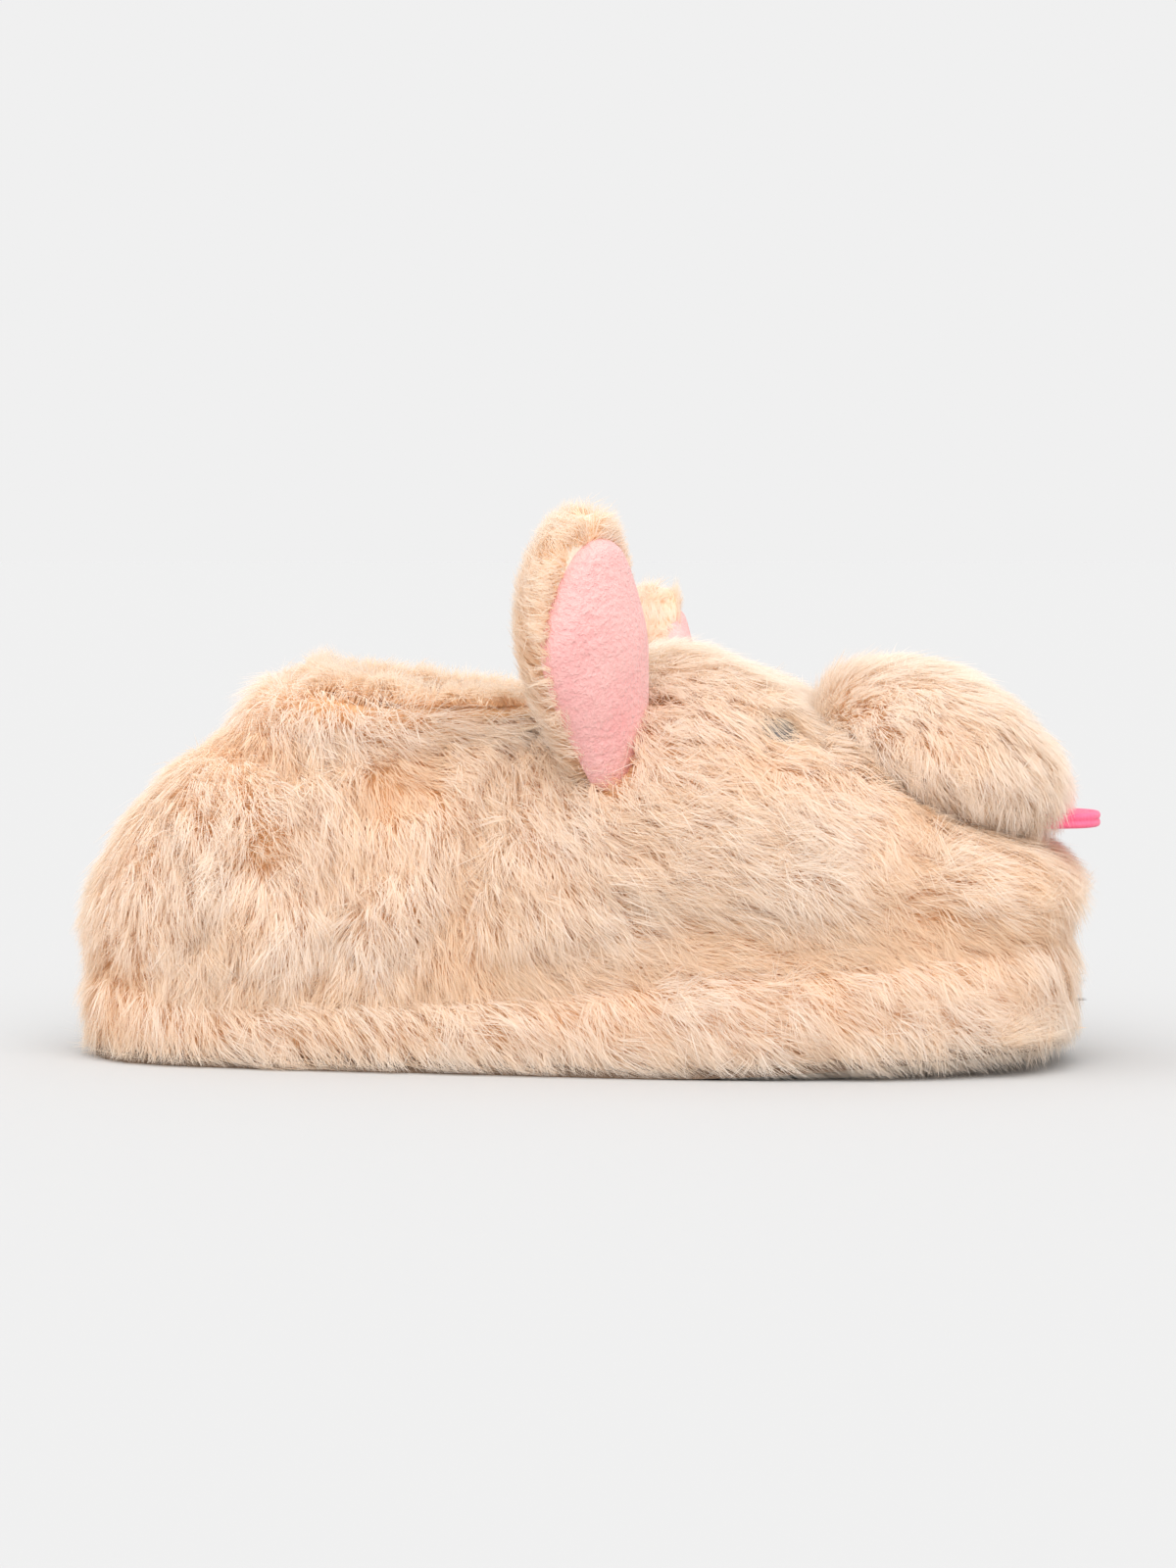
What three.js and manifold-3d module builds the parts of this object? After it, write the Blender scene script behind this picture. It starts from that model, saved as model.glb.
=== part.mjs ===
// A plush dog-faced slipper for the right foot. A deep-pile upper stands on a foam sole wrapped
// in the same pile. A stuffed muzzle with two jowls, a nose, a felt tongue, two satin eyes and
// two stuffed ears with velour linings are sewn on it.
// X runs from heel to toe, Y to the wearer's left and Z up. Lengths are in millimetres, the
// floor is z = 0, and the origin lies under the middle of the length.

import * as THREE from "three";
import { mergeVertices } from "three/addons/utils/BufferGeometryUtils.js";
import Module from "manifold-3d";

const wasm = await Module();
wasm.setup();

// Overall form, measured over the pile
const LENGTH = 250; // back of the heel to the toe
const BALL_WIDTH = 108; // across the ball of the foot
const BAND_HEIGHT = 25; // floor to the seam between sole band and upper, beside the ball
const TOE_SPRING = 5.5; // lift of the sole at the toe
const HEEL_HEIGHT = 94.5; // floor to the back of the collar
const RIM_HEIGHT = 89.5; // floor to the sides of the collar
const HEAD_HEIGHT = 103; // floor to the forehead
const TOE_HEIGHT = 56; // floor to the toe under the muzzle

// Collar
const COLLAR_BACK = 61; // the collar's back edge ahead of the heel
const COLLAR_LENGTH = 72; // back edge to throat
const COLLAR_WIDTH = 66;
const COLLAR_OVAL = 0.9; // power of the sine that rounds its sides, 1 is an ellipse
const ROLL_WIDTH = 5; // how far the rolled edge bulges into the opening

// Walls and layers
const WALL = 9; // lining, foam, backing and laid pile together
const SEAM_DEPTH = 4; // how far the pile draws in at the seam above the sole
const SEAM_REACH = 0.09; // how far up it draws in, share of the rib
const OUTSOLE_THICKNESS = 2.5;
const OUTSOLE_INSET = 6; // the pile overhangs the outsole
const GROOVE_WIDTH = 3; // grip grooves under the outsole
const GROOVE_DEPTH = 1;
const FOOTBED_HEIGHT = 15; // floor to the foam under the insole
const FOOTBED_RIM = 1.5; // foam showing inside the upper's wall
const FOOTBED_TAPER = 1; // how much the recess draws in towards its floor
const INSOLE_THICKNESS = 5;
const INSOLE_INSET = 3; // inside the upper's wall
const INSOLE_ROUND = 2; // how far its top edge is rounded in
const INSOLE_EDGE = 0.6; // share of its thickness where the rounding starts
const CLEARANCE = 0.3; // between curved pieces that touch

// Muzzle, nose and tongue
const MUZZLE_LENGTH = 67;
const MUZZLE_WIDTH = 74;
const MUZZLE_DEPTH = 42; // across its shorter way, seen from the side
const MUZZLE_FRONT = 4.5; // how far it stays behind the toe
const MUZZLE_TOP = 98.5; // floor to its top
const MUZZLE_TILT = 22; // degrees, nose down
const MUZZLE_ROUND = 0.9; // power of the sine along it, 1 is an ellipsoid
const JOWL_CLEFT = 0.18; // share of its depth that the cleft between the jowls draws in
const CLEFT_REACH = 0.2; // half the cleft's width, share of half the muzzle's
const NOSE_WIDTH = 17;
const NOSE_HEIGHT = 12;
const NOSE_PROUD = 3; // how far it stands out of the cleft
const NOSE_TILT = 34; // degrees that it faces up
const NOSE_TAPER = 0.28; // how much wider than its middle the top is
const NOSE_ROUND = 0.7; // power of the sine along it, 1 is an ellipsoid
const TONGUE_WIDTH = 27;
const TONGUE_THICKNESS = 3.6;
const TONGUE_LENGTH = 26; // seam to tip
const TONGUE_ROUND = 0.7; // length of its round end, share of half its width
const TONGUE_PROUD = 2.6; // beyond the toe
const TONGUE_LIFT = 1.4; // over the toe

// Eyes
const EYE_DIAMETER = 12;
const EYE_DOME = 3;
const EYE_SHARE = 0.735; // along the foot
const EYE_UP = 0.585; // up the rib

// Ears
const EAR_LENGTH = 67;
const EAR_WIDTH = 38;
const EAR_BACK_DEPTH = 15; // stuffing and pile behind the mid-plane
const EAR_FRONT_DEPTH = 6;
const EAR_AT = 0.53; // the middle of an ear's root, share of the length
const EAR_ROOT_HEIGHT = 66;
const EAR_INSET = 12; // its root inside the widest part of the foot
const LINING_THICKNESS = 2.2;
const LINING_BACK = 0.5; // how far the lining's edge lies behind the mid-plane
const LINING_SHARE = 0.87; // of the ear's outline
const LINING_DROP = 0.8; // share of the lining's shortening that is taken off the ear's tip

// Locks of pile
const LOCK_LENGTH = 27;
const LOCK_WIDTH = 15;
const LOCK_RISE = 3; // height of a lock's tip over the laid pile
const LOCK_SINK = 3; // depth of its root under the laid pile
const LOCK_ROOT = 0.6; // width at its root, share of its widest
const COMB_HEEL = 88; // degrees below level that the pile is combed at the heel
const COMB_TOE = 48; // and from the quarter forwards
const MUZZLE_LOCK_SIZE = 0.82;
const MUZZLE_LOCK_REACH = 38; // degrees along the muzzle
const MUZZLE_LOCK_FAN = 0.3; // radians that its tips spread to the side
const EAR_LOCK_SIZE = 0.72;
const EAR_LOCK_REACH = 0.3; // share of the ear's length
const FRINGE_HEIGHT = 1.2; // floor to the lowest tips of the sole band

// How finely the forms are faceted
const STATIONS = 25; // ribs from heel to toe on each side
const RIB_STEPS = 8; // facets up each rib

// The foot's sections. at: share of the length from the heel. half: half width, share of half
// the ball width. drift: shift towards the big toe, share of the ball width. seam: height of the
// seam over the sole, share of the band height. fullness: 2 is an elliptical rib, more is plumper.
const SECTIONS = [
  { at: 0.0, half: 0.84, drift: 0.0, seam: 0.96, fullness: 1.65 },
  { at: 0.18, half: 0.8, drift: 0.0, seam: 0.66, fullness: 1.85 },
  { at: 0.42, half: 0.84, drift: -0.015, seam: 0.72, fullness: 2.3 },
  { at: 0.6, half: 0.96, drift: 0.0, seam: 0.98, fullness: 2.5 },
  { at: 0.76, half: 1.0, drift: 0.02, seam: 1.02, fullness: 2.6 },
  { at: 0.9, half: 0.98, drift: 0.035, seam: 1.06, fullness: 2.8 },
  { at: 1.0, half: 0.95, drift: 0.04, seam: 1.12, fullness: 3.0 },
];
const HEEL_ROUND = 2.3; // powers of the round ends of the outline
const TOE_ROUND = 2.6;

// The collar's crest. at: share of the collar length from its back.
// height: 0 is the sides' height and 1 the back's.
const CREST = [
  { at: 0.0, height: 1.0 },
  { at: 0.2, height: 0.75 },
  { at: 0.45, height: 0.1 },
  { at: 0.75, height: 0.2 },
  { at: 1.0, height: 0.9 },
];

// The ridge over the vamp. at: share of the way from throat to ridge end.
// height: share of the way from toe height to head height.
const RIDGE = [
  { at: 0.0, height: 0.93 },
  { at: 0.2, height: 1.0 },
  { at: 0.4, height: 0.87 },
  { at: 0.6, height: 0.6 },
  { at: 0.8, height: 0.28 },
  { at: 1.0, height: 0.04 },
];
const RIDGE_END = 0.12; // where the ridge ends, share of the length behind the toe

// Soft troughs and ridges in the upper. at: share of the length, up: share of the rib, long and
// tall: reach along the foot and up the rib in the same shares, slant: forward lean of the fold
// with height, out: outward depth as a share of the wall.
const FOLDS = [
  { name: "side seam", at: 0.4, up: 0.3, long: 0.022, tall: 0.42, slant: 0.1, out: -0.36 },
  { name: "collar roll", at: 0.1, up: 0.86, long: 0.36, tall: 0.1, slant: 0.0, out: 0.4 },
  { name: "under the roll", at: 0.12, up: 0.64, long: 0.2, tall: 0.09, slant: 0.0, out: -0.34 },
  { name: "heel cheek", at: 0.16, up: 0.36, long: 0.08, tall: 0.16, slant: 0.0, out: 0.26 },
  { name: "quarter hollow", at: 0.32, up: 0.55, long: 0.05, tall: 0.14, slant: 0.2, out: -0.3 },
  { name: "cheek", at: 0.62, up: 0.36, long: 0.14, tall: 0.22, slant: 0.0, out: 0.24 },
  { name: "mouth corner", at: 0.9, up: 0.62, long: 0.05, tall: 0.12, slant: -0.2, out: -0.26 },
];

// An ear's outline. at: share of its length. half and inward: half width and shift towards the
// head, shares of half its width. puff: share of its depth.
const EAR_OUTLINE = [
  { at: 0.0, half: 0.4, inward: 0.5, puff: 0.5 },
  { at: 0.2, half: 0.7, inward: 0.3, puff: 0.76 },
  { at: 0.45, half: 0.96, inward: 0.06, puff: 0.96 },
  { at: 0.65, half: 1.0, inward: 0.0, puff: 1.0 },
  { at: 0.86, half: 0.82, inward: 0.04, puff: 0.86 },
  { at: 1.0, half: 0.4, inward: 0.12, puff: 0.46 },
];

// Where each ear is sewn on. side: -1 is the outer side of the foot. turn: degrees from facing
// ahead to facing sideways. lean: degrees outwards, back: degrees backwards. ahead and low: how
// far ahead of the other and below it its root is sewn.
const EARS = [
  { name: "right", side: -1, turn: 37, lean: 5, back: -1, ahead: 0, low: 0 },
  { name: "left", side: 1, turn: 26, lean: 38, back: 2, ahead: 7, low: 8 },
];

const MATERIALS = {
  plush: new THREE.MeshStandardMaterial({ color: 0xf0d2b6, roughness: 0.95 }),
  velour: new THREE.MeshStandardMaterial({ color: 0xfbbcb6, roughness: 0.85 }),
  felt: new THREE.MeshStandardMaterial({ color: 0xfe8aa0, roughness: 0.9 }),
  satin: new THREE.MeshStandardMaterial({ color: 0x1b1715, roughness: 0.4 }),
  fleece: new THREE.MeshStandardMaterial({ color: 0xead3bd, roughness: 0.95 }),
  rubber: new THREE.MeshStandardMaterial({ color: 0x6b5a4b, roughness: 0.8 }),
};

const degrees = THREE.MathUtils.degToRad;
const mix = THREE.MathUtils.lerp;
const vec = (x, y, z) => new THREE.Vector3(x, y, z);

// Reads a column of a table at a share, on a smooth curve through its rows.
function read(table, column, share) {
  const last = table.length - 1;
  const at = THREE.MathUtils.clamp(share, table[0].at, table[last].at);
  const i = Math.max(1, table.findIndex((row) => row.at >= at));
  const slope = (k) => {
    const a = table[Math.max(0, k - 1)];
    const b = table[Math.min(last, k + 1)];
    return (b[column] - a[column]) / (b.at - a.at);
  };
  const [a, b] = [table[i - 1], table[i]];
  const span = b.at - a.at;
  const s = (at - a.at) / span;
  return (
    a[column] * (2 * s ** 3 - 3 * s ** 2 + 1) +
    b[column] * (3 * s ** 2 - 2 * s ** 3) +
    slope(i - 1) * span * (s ** 3 - 2 * s ** 2 + s) +
    slope(i) * span * (s ** 3 - s ** 2)
  );
}

// A repeatable irregular number from -1 to 1 for a pair of counts.
function uneven(i, j) {
  const wave = Math.sin(i * 12.9898 + j * 78.233) * 43758.5453;
  return 2 * (wave - Math.floor(wave)) - 1;
}

// Solids from rings

// A closed solid from a triangle list over points.
function solidOf(points, faces) {
  const position = new Float32Array(points.flatMap((p) => [p.x, p.y, p.z]));
  const geometry = new THREE.BufferGeometry()
    .setAttribute("position", new THREE.BufferAttribute(position, 3))
    .setIndex(faces.flat());
  const merged = mergeVertices(geometry, 1e-3);
  const index = merged.index.array;
  const triangles = [];
  for (let i = 0; i < index.length; i += 3) {
    const [a, b, c] = [index[i], index[i + 1], index[i + 2]];
    if (a !== b && b !== c && c !== a) triangles.push(a, b, c);
  }
  return new wasm.Manifold(
    new wasm.Mesh({
      numProp: 3,
      vertProperties: merged.attributes.position.array,
      triVerts: new Uint32Array(triangles),
    }),
  );
}

function centreOf(ring) {
  return ring.reduce((sum, p) => sum.add(p), vec(0, 0, 0)).divideScalar(ring.length);
}

// A solid skinned over rings of as many points each, closed by a fan to a point at each end.
function loft(rings, start = centreOf(rings[0]), end = centreOf(rings[rings.length - 1])) {
  const count = rings[0].length;
  const points = [...rings.flat(), start, end];
  const startIndex = points.length - 2;
  const endIndex = points.length - 1;
  const top = (rings.length - 1) * count;
  const faces = [];
  for (let j = 0; j < count; j++) {
    const k = (j + 1) % count;
    faces.push([startIndex, k, j], [endIndex, top + j, top + k]);
    for (let i = 0; i < rings.length - 1; i++) {
      const [low, high] = [i * count, (i + 1) * count];
      faces.push([low + j, low + k, high + k], [low + j, high + k, high + j]);
    }
  }
  const made = solidOf(points, faces);
  return made.volume() < 0 ? solidOf(points, faces.map(([a, b, c]) => [a, c, b])) : made;
}

function largest(solid) {
  return solid.decompose().reduce((a, b) => (b.volume() > a.volume() ? b : a));
}

function without(solid, ...tools) {
  return tools.reduce((left, tool) => left.subtract(tool), solid);
}

// The outline of the foot

// Half width at a share of the length: the table's width with round ends.
function halfWidth(at) {
  const power = at < 0.5 ? HEEL_ROUND : TOE_ROUND;
  const ends = (1 - Math.abs(2 * at - 1) ** (2 * power)) ** (1 / power);
  return (BALL_WIDTH / 2) * read(SECTIONS, "half", at) * ends;
}

// Shares of the length at which the ribs stand, about evenly spaced around the outline.
function ribShares(count) {
  const fine = 400;
  const at = Array.from({ length: fine + 1 }, (_, i) => (1 - Math.cos((Math.PI * i) / fine)) / 2);
  const far = [0];
  for (let i = 1; i <= fine; i++) {
    const wider = halfWidth(at[i]) - halfWidth(at[i - 1]);
    const step = Math.hypot((at[i] - at[i - 1]) * LENGTH, wider);
    far.push(far[i - 1] + step);
  }
  return Array.from({ length: count + 1 }, (_, k) => {
    const goal = (far[fine] * k) / count;
    const i = Math.max(1, far.findIndex((d) => d >= goal - 1e-9));
    return mix(at[i - 1], at[i], (goal - far[i - 1]) / (far[i] - far[i - 1]));
  });
}

const SHARES = ribShares(STATIONS);

// The ribs in order around the foot: the outer side from heel to toe, the inner side back.
const RIBS = [
  ...SHARES.map((at) => ({ at, side: -1 })),
  ...SHARES.slice(1, -1).reverse().map((at) => ({ at, side: 1 })),
];

// A solid skinned over rings around the foot, closed by strips from side to side at both ends.
function footLoft(rings) {
  const count = RIBS.length;
  const strips = (offset, flip) =>
    SHARES.slice(1).flatMap((_, i) => {
      const [a, b] = [offset + i, offset + i + 1];
      const [c, d] = [offset + ((count - i - 1) % count), offset + ((count - i) % count)];
      const faces = [[a, b, c], [a, c, d]];
      return flip ? faces.map(([p, q, r]) => [p, r, q]) : faces;
    });
  const top = (rings.length - 1) * count;
  const faces = [...gridFaces(rings.length, count), ...strips(0, true), ...strips(top, false)];
  return solidOf(rings.flat(), faces);
}

const alongFoot = (at) => (at - 0.5) * LENGTH;
const drift = (at) => read(SECTIONS, "drift", at) * BALL_WIDTH;
const spring = (at) => TOE_SPRING * THREE.MathUtils.smoothstep(at, 0.58, 1);
const seamHeight = (at) => spring(at) + BAND_HEIGHT * read(SECTIONS, "seam", at);

// A ring around the foot, drawn in from the outline by inset, at the height that rise gives.
function footRing(inset, rise) {
  const outline = RIBS.map(({ at, side }) => {
    return vec(alongFoot(at), drift(at) + side * halfWidth(at), 0);
  });
  return outline.map((p, i) => {
    const before = outline[(i + outline.length - 1) % outline.length];
    const after = outline[(i + 1) % outline.length];
    const inward = vec(before.y - after.y, after.x - before.x, 0).normalize();
    return p.clone().addScaledVector(inward, inset).setZ(rise(RIBS[i].at));
  });
}

// The form of the upper

const THROAT = (COLLAR_BACK + COLLAR_LENGTH) / LENGTH;

// The point where a rib ends: on the collar's crest, or on the ridge ahead of the throat.
function ribTop({ at, side }) {
  if (at < THROAT) {
    const share = at / THROAT;
    const around = Math.PI * share;
    return vec(
      alongFoot(0) + COLLAR_BACK + (COLLAR_LENGTH * (1 - Math.cos(around))) / 2,
      drift(at) * share + (side * Math.sin(around) ** COLLAR_OVAL * COLLAR_WIDTH) / 2,
      mix(RIM_HEIGHT, HEEL_HEIGHT, read(CREST, "height", share)),
    );
  }
  const share = (at - THROAT) / (1 - THROAT);
  return vec(
    mix(alongFoot(THROAT), alongFoot(1 - RIDGE_END), share),
    drift(at),
    mix(TOE_HEIGHT, HEAD_HEIGHT, read(RIDGE, "height", share)),
  );
}

// A point on a rib at the share up: a quarter of a superellipse from the seam to the rib's top.
function ribPoint(rib, up) {
  const { at, side } = rib;
  const top = ribTop(rib);
  const foot = vec(alongFoot(at), drift(at) + side * halfWidth(at), seamHeight(at));
  const power = 2 / read(SECTIONS, "fullness", at);
  const angle = (Math.PI / 2) * up;
  const across = Math.cos(angle) ** power;
  const rise = Math.sin(angle) ** power;
  return vec(
    mix(top.x, foot.x, across),
    mix(top.y, foot.y, across),
    mix(foot.z, top.z, rise),
  );
}

// Outward depth of the folds at a place on the upper, in millimetres.
function foldDepth(at, up) {
  const drawnIn = -SEAM_DEPTH * Math.exp(-((up / SEAM_REACH) ** 2));
  return FOLDS.reduce((sum, fold) => {
    const ahead = (at - fold.at - fold.slant * (up - fold.up)) / fold.long;
    const above = (up - fold.up) / fold.tall;
    return sum + fold.out * WALL * Math.exp(-(ahead ** 2) - above ** 2);
  }, drawnIn);
}

const UPS = Array.from({ length: RIB_STEPS + 1 }, (_, i) => (i / RIB_STEPS) ** 1.15);

// The upper's smooth grid, a row for each height, with an outward normal at each point.
function upperGrid() {
  const rows = UPS.map((up) => RIBS.map((rib) => ribPoint(rib, up)));
  const key = (p) => `${p.x.toFixed(3)} ${p.y.toFixed(3)} ${p.z.toFixed(3)}`;
  const sums = new Map();
  gridFaces(rows.length, RIBS.length).forEach((face) => {
    const [a, b, c] = face.map((n) => rows[Math.floor(n / RIBS.length)][n % RIBS.length]);
    const normal = b.clone().sub(a).cross(c.clone().sub(a));
    [a, b, c].forEach((p) => sums.set(key(p), (sums.get(key(p)) ?? vec(0, 0, 0)).add(normal)));
  });
  const normals = rows.map((row) => row.map((p) => sums.get(key(p)).clone().normalize()));
  return { rows, normals };
}

// Triangles of a closed band of rows, facing away from the foot.
function gridFaces(rowCount, count, offset = 0, flip = false) {
  const faces = [];
  for (let i = 0; i < rowCount - 1; i++)
    for (let j = 0; j < count; j++) {
      const k = (j + 1) % count;
      const [low, high] = [offset + i * count, offset + (i + 1) * count];
      faces.push([low + j, low + k, high + k], [low + j, high + k, high + j]);
    }
  return flip ? faces.map(([a, b, c]) => [a, c, b]) : faces;
}

const GRID = upperGrid();

// The outer face moved outwards by grow, folds included.
function outerRows(grow = 0) {
  return GRID.rows.map((row, i) =>
    row.map((p, j) => {
      const out = foldDepth(RIBS[j].at, UPS[i]) + grow;
      return p.clone().addScaledVector(GRID.normals[i][j], out);
    }),
  );
}

// The upper's outer form as a filled solid, grown by a clearance, which reaches down over the
// seam. Other pieces are cut by it.
function upperEnvelope(grow) {
  const seamOverlap = 1;
  const rows = outerRows(grow);
  rows[0].forEach((p) => p.setZ(p.z - grow - seamOverlap));
  return loft(rows);
}

// The upper as one wall, open at the collar and underneath. The outer and inner faces meet in a
// rolled edge around the collar and in a flat strip on the sole.
function upperShell() {
  const count = RIBS.length;
  const outer = outerRows();
  const inner = GRID.rows.map((row, i) =>
    row.map((p, j) => p.clone().addScaledVector(GRID.normals[i][j], -WALL)),
  );
  outer[0] = footRing(SEAM_DEPTH, seamHeight);
  inner[0] = footRing(SEAM_DEPTH + WALL, seamHeight);
  const last = outer.length - 1;
  const middle = vec(alongFoot(0) + COLLAR_BACK + COLLAR_LENGTH / 2, 0, 0);
  const roll = outer[last].map((p, j) => {
    const edge = p.clone().add(inner[last][j]).multiplyScalar(0.5);
    const inward = middle.clone().sub(edge).setZ(0).normalize();
    return edge.addScaledVector(inward, ROLL_WIDTH);
  });
  const points = [...outer.flat(), ...inner.flat(), ...roll];
  const innerAt = outer.length * count;
  const rollAt = 2 * innerAt;
  const faces = [
    ...gridFaces(outer.length, count),
    ...gridFaces(inner.length, count, innerAt, true),
  ];
  for (let j = 0; j < count; j++) {
    const k = (j + 1) % count;
    faces.push([j, innerAt + k, k], [j, innerAt + j, innerAt + k]);
    if (Math.min(RIBS[j].at, RIBS[k].at) >= THROAT) continue;
    const [a, b] = [last * count + j, last * count + k];
    const rollJ = RIBS[j].at < THROAT ? rollAt + j : a;
    const rollK = RIBS[k].at < THROAT ? rollAt + k : b;
    faces.push([a, b, rollK], [a, rollK, rollJ]);
    faces.push([rollJ, rollK, innerAt + b], [rollJ, innerAt + b, innerAt + a]);
  }
  return solidOf(points, faces);
}

// A place on the upper's face, folds included, and the way out of it.
function upperPlace(at, side, up) {
  const step = 0.01;
  const on = (a, u) => ribPoint({ at: a, side }, u);
  const ahead = on(Math.min(at + step, 1), up).sub(on(Math.max(at - step, 0), up));
  const above = on(at, Math.min(up + step, 1)).sub(on(at, up - step));
  const out = ahead.cross(above).multiplyScalar(-side).normalize();
  return { point: on(at, up).addScaledVector(out, foldDepth(at, up)), out };
}

// Locks of pile

// A lock: a three-sided tuft laid over a form through three places on it. Its root is sunk in
// the pile and its tip lifts off.
function lock({ root, middle, tip, size, grow = 0 }) {
  const flow = tip.point.clone().sub(root.point).normalize();
  const ring = ({ point, out }, half, rise, sink) => {
    const across = out.clone().cross(flow).normalize();
    return [
      point.clone().addScaledVector(across, half + grow).addScaledVector(out, -sink),
      point.clone().addScaledVector(out, rise + grow),
      point.clone().addScaledVector(across, -half - grow).addScaledVector(out, -sink),
    ];
  };
  const half = (LOCK_WIDTH * size) / 2;
  const end = tip.point.clone().addScaledVector(tip.out, LOCK_RISE * size + grow);
  const low = ring(root, half * LOCK_ROOT, -LOCK_SINK * (1 - LOCK_ROOT), LOCK_SINK);
  const wide = ring(middle, half, LOCK_RISE * size, LOCK_SINK * LOCK_ROOT);
  return loft([low, wide], undefined, end.addScaledVector(flow, grow));
}

// Rows of locks over the upper, staggered. up: where a row's roots are, share of the rib.
const UPPER_ROWS = [
  { up: 0.3, count: 13, from: 0.0, to: 1.0 },
  { up: 0.46, count: 13, from: 0.0, to: 0.98 },
  { up: 0.62, count: 11, from: 0.0, to: 0.84 },
  { up: 0.78, count: 9, from: 0.02, to: 0.74 },
  { up: 0.93, count: 7, from: 0.04, to: 0.68 },
];
const RIB_LENGTH = 100; // about the way from seam to crest

// The pile is combed down and towards the toe, and around the heel more steeply down.
function upperLocks() {
  const places = UPPER_ROWS.flatMap(({ up, count, from, to }, row) =>
    [-1, 1].flatMap((side) =>
      Array.from({ length: count }, (_, n) => {
        const share = (n + 0.3 + 0.5 * (row % 2) + 0.2 * uneven(n, row * side)) / count;
        const at = mix(from, to, THREE.MathUtils.clamp(share, 0.02, 0.98));
        const size = 1 + 0.16 * uneven(n, row + 3);
        const ahead = THREE.MathUtils.smoothstep(at, 0.08, 0.45);
        const turn = degrees(mix(COMB_HEEL, COMB_TOE, ahead)) + 0.25 * uneven(n + 7, row);
        const goal = { at, side, up, turn, long: LOCK_LENGTH * size };
        return { root: combed(goal, 0), middle: combed(goal, 0.5), tip: combed(goal, 1), size };
      }),
    ),
  );
  return places.filter(freeForLock);
}

// A place on the upper, a share of a lock's length along its comb from its root.
function combed({ at, side, up, turn, long }, share) {
  const ahead = (share * Math.cos(turn) * long) / LENGTH;
  const down = (share * Math.sin(turn) * long) / RIB_LENGTH;
  return upperPlace(Math.min(at + ahead, 0.995), side, Math.max(up - down, 0.04));
}

// A lock grows only where it stays clear of what is sewn on the upper.
function freeForLock({ root, middle, tip }) {
  const reach = LOCK_WIDTH * 0.55;
  return [root.point, middle.point, tip.point].every(
    (p) =>
      muzzleDistance(p) > reach &&
      EARS.every((ear) => earDistance(ear, p) > reach) &&
      [-1, 1].every((side) => p.distanceTo(eyePlace(side).point) > EYE_DIAMETER * 0.9),
  );
}

// The muzzle

const MUZZLE_TURN = new THREE.Matrix4().makeRotationY(degrees(MUZZLE_TILT));
const MUZZLE_HALF = vec(MUZZLE_LENGTH / 2, MUZZLE_WIDTH / 2, MUZZLE_DEPTH / 2);
const MUZZLE_CENTRE = muzzleCentre();

function muzzleCentre() {
  const [c, s] = [Math.cos(degrees(MUZZLE_TILT)), Math.sin(degrees(MUZZLE_TILT))];
  const reach = Math.hypot(MUZZLE_HALF.x * c, MUZZLE_HALF.z * s);
  const rise = Math.hypot(MUZZLE_HALF.x * s, MUZZLE_HALF.z * c);
  return vec(alongFoot(1) - MUZZLE_FRONT - reach, drift(0.85), MUZZLE_TOP - rise);
}

// A point of the muzzle: an ellipsoid whose front is cleft between two jowls. tip runs from the
// back pole to the front one in degrees, and around is the angle about the long axis.
function muzzlePoint(tip, around, grow = 0) {
  const [ahead, wide] = [-Math.cos(degrees(tip)), Math.sin(degrees(tip)) ** MUZZLE_ROUND];
  const p = vec(
    ahead * (MUZZLE_HALF.x + grow),
    wide * Math.cos(around) * (MUZZLE_HALF.y + grow),
    wide * Math.sin(around) * (MUZZLE_HALF.z + grow),
  );
  const front = THREE.MathUtils.smoothstep(p.x, -0.1 * MUZZLE_HALF.x, 0.6 * MUZZLE_HALF.x);
  const middle = Math.exp(-((p.y / (CLEFT_REACH * MUZZLE_HALF.y)) ** 2));
  p.multiplyScalar(1 - JOWL_CLEFT * front * middle);
  return p.applyMatrix4(MUZZLE_TURN).add(MUZZLE_CENTRE);
}

function muzzleBody(grow) {
  const tips = Array.from({ length: 11 }, (_, i) => (180 * (i + 1)) / 12);
  const arounds = Array.from({ length: 20 }, (_, j) => (2 * Math.PI * j) / 20);
  const rings = tips.map((tip) => arounds.map((around) => muzzlePoint(tip, around, grow)));
  return loft(rings, muzzlePoint(0, 0, grow), muzzlePoint(180, 0, grow));
}

// About how far a point is outside the muzzle, in millimetres.
function muzzleDistance(point) {
  const local = point.clone().sub(MUZZLE_CENTRE).applyMatrix4(MUZZLE_TURN.clone().invert());
  return (local.clone().divide(MUZZLE_HALF).length() - 1) * MUZZLE_HALF.z;
}

// Rows of locks over the muzzle, at degrees from its back pole.
const MUZZLE_ROWS = [
  { tip: 34, count: 5 },
  { tip: 66, count: 7 },
  { tip: 98, count: 7 },
];

function muzzlePlace(tip, around) {
  const point = muzzlePoint(tip, around);
  const out = point.clone().sub(MUZZLE_CENTRE).applyMatrix4(MUZZLE_TURN.clone().invert());
  out.divide(MUZZLE_HALF).divide(MUZZLE_HALF).applyMatrix4(MUZZLE_TURN).normalize();
  return { point, out };
}

const NOSE_CENTRE = muzzlePoint(137, Math.PI / 2); // high in the cleft of the muzzle

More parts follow.
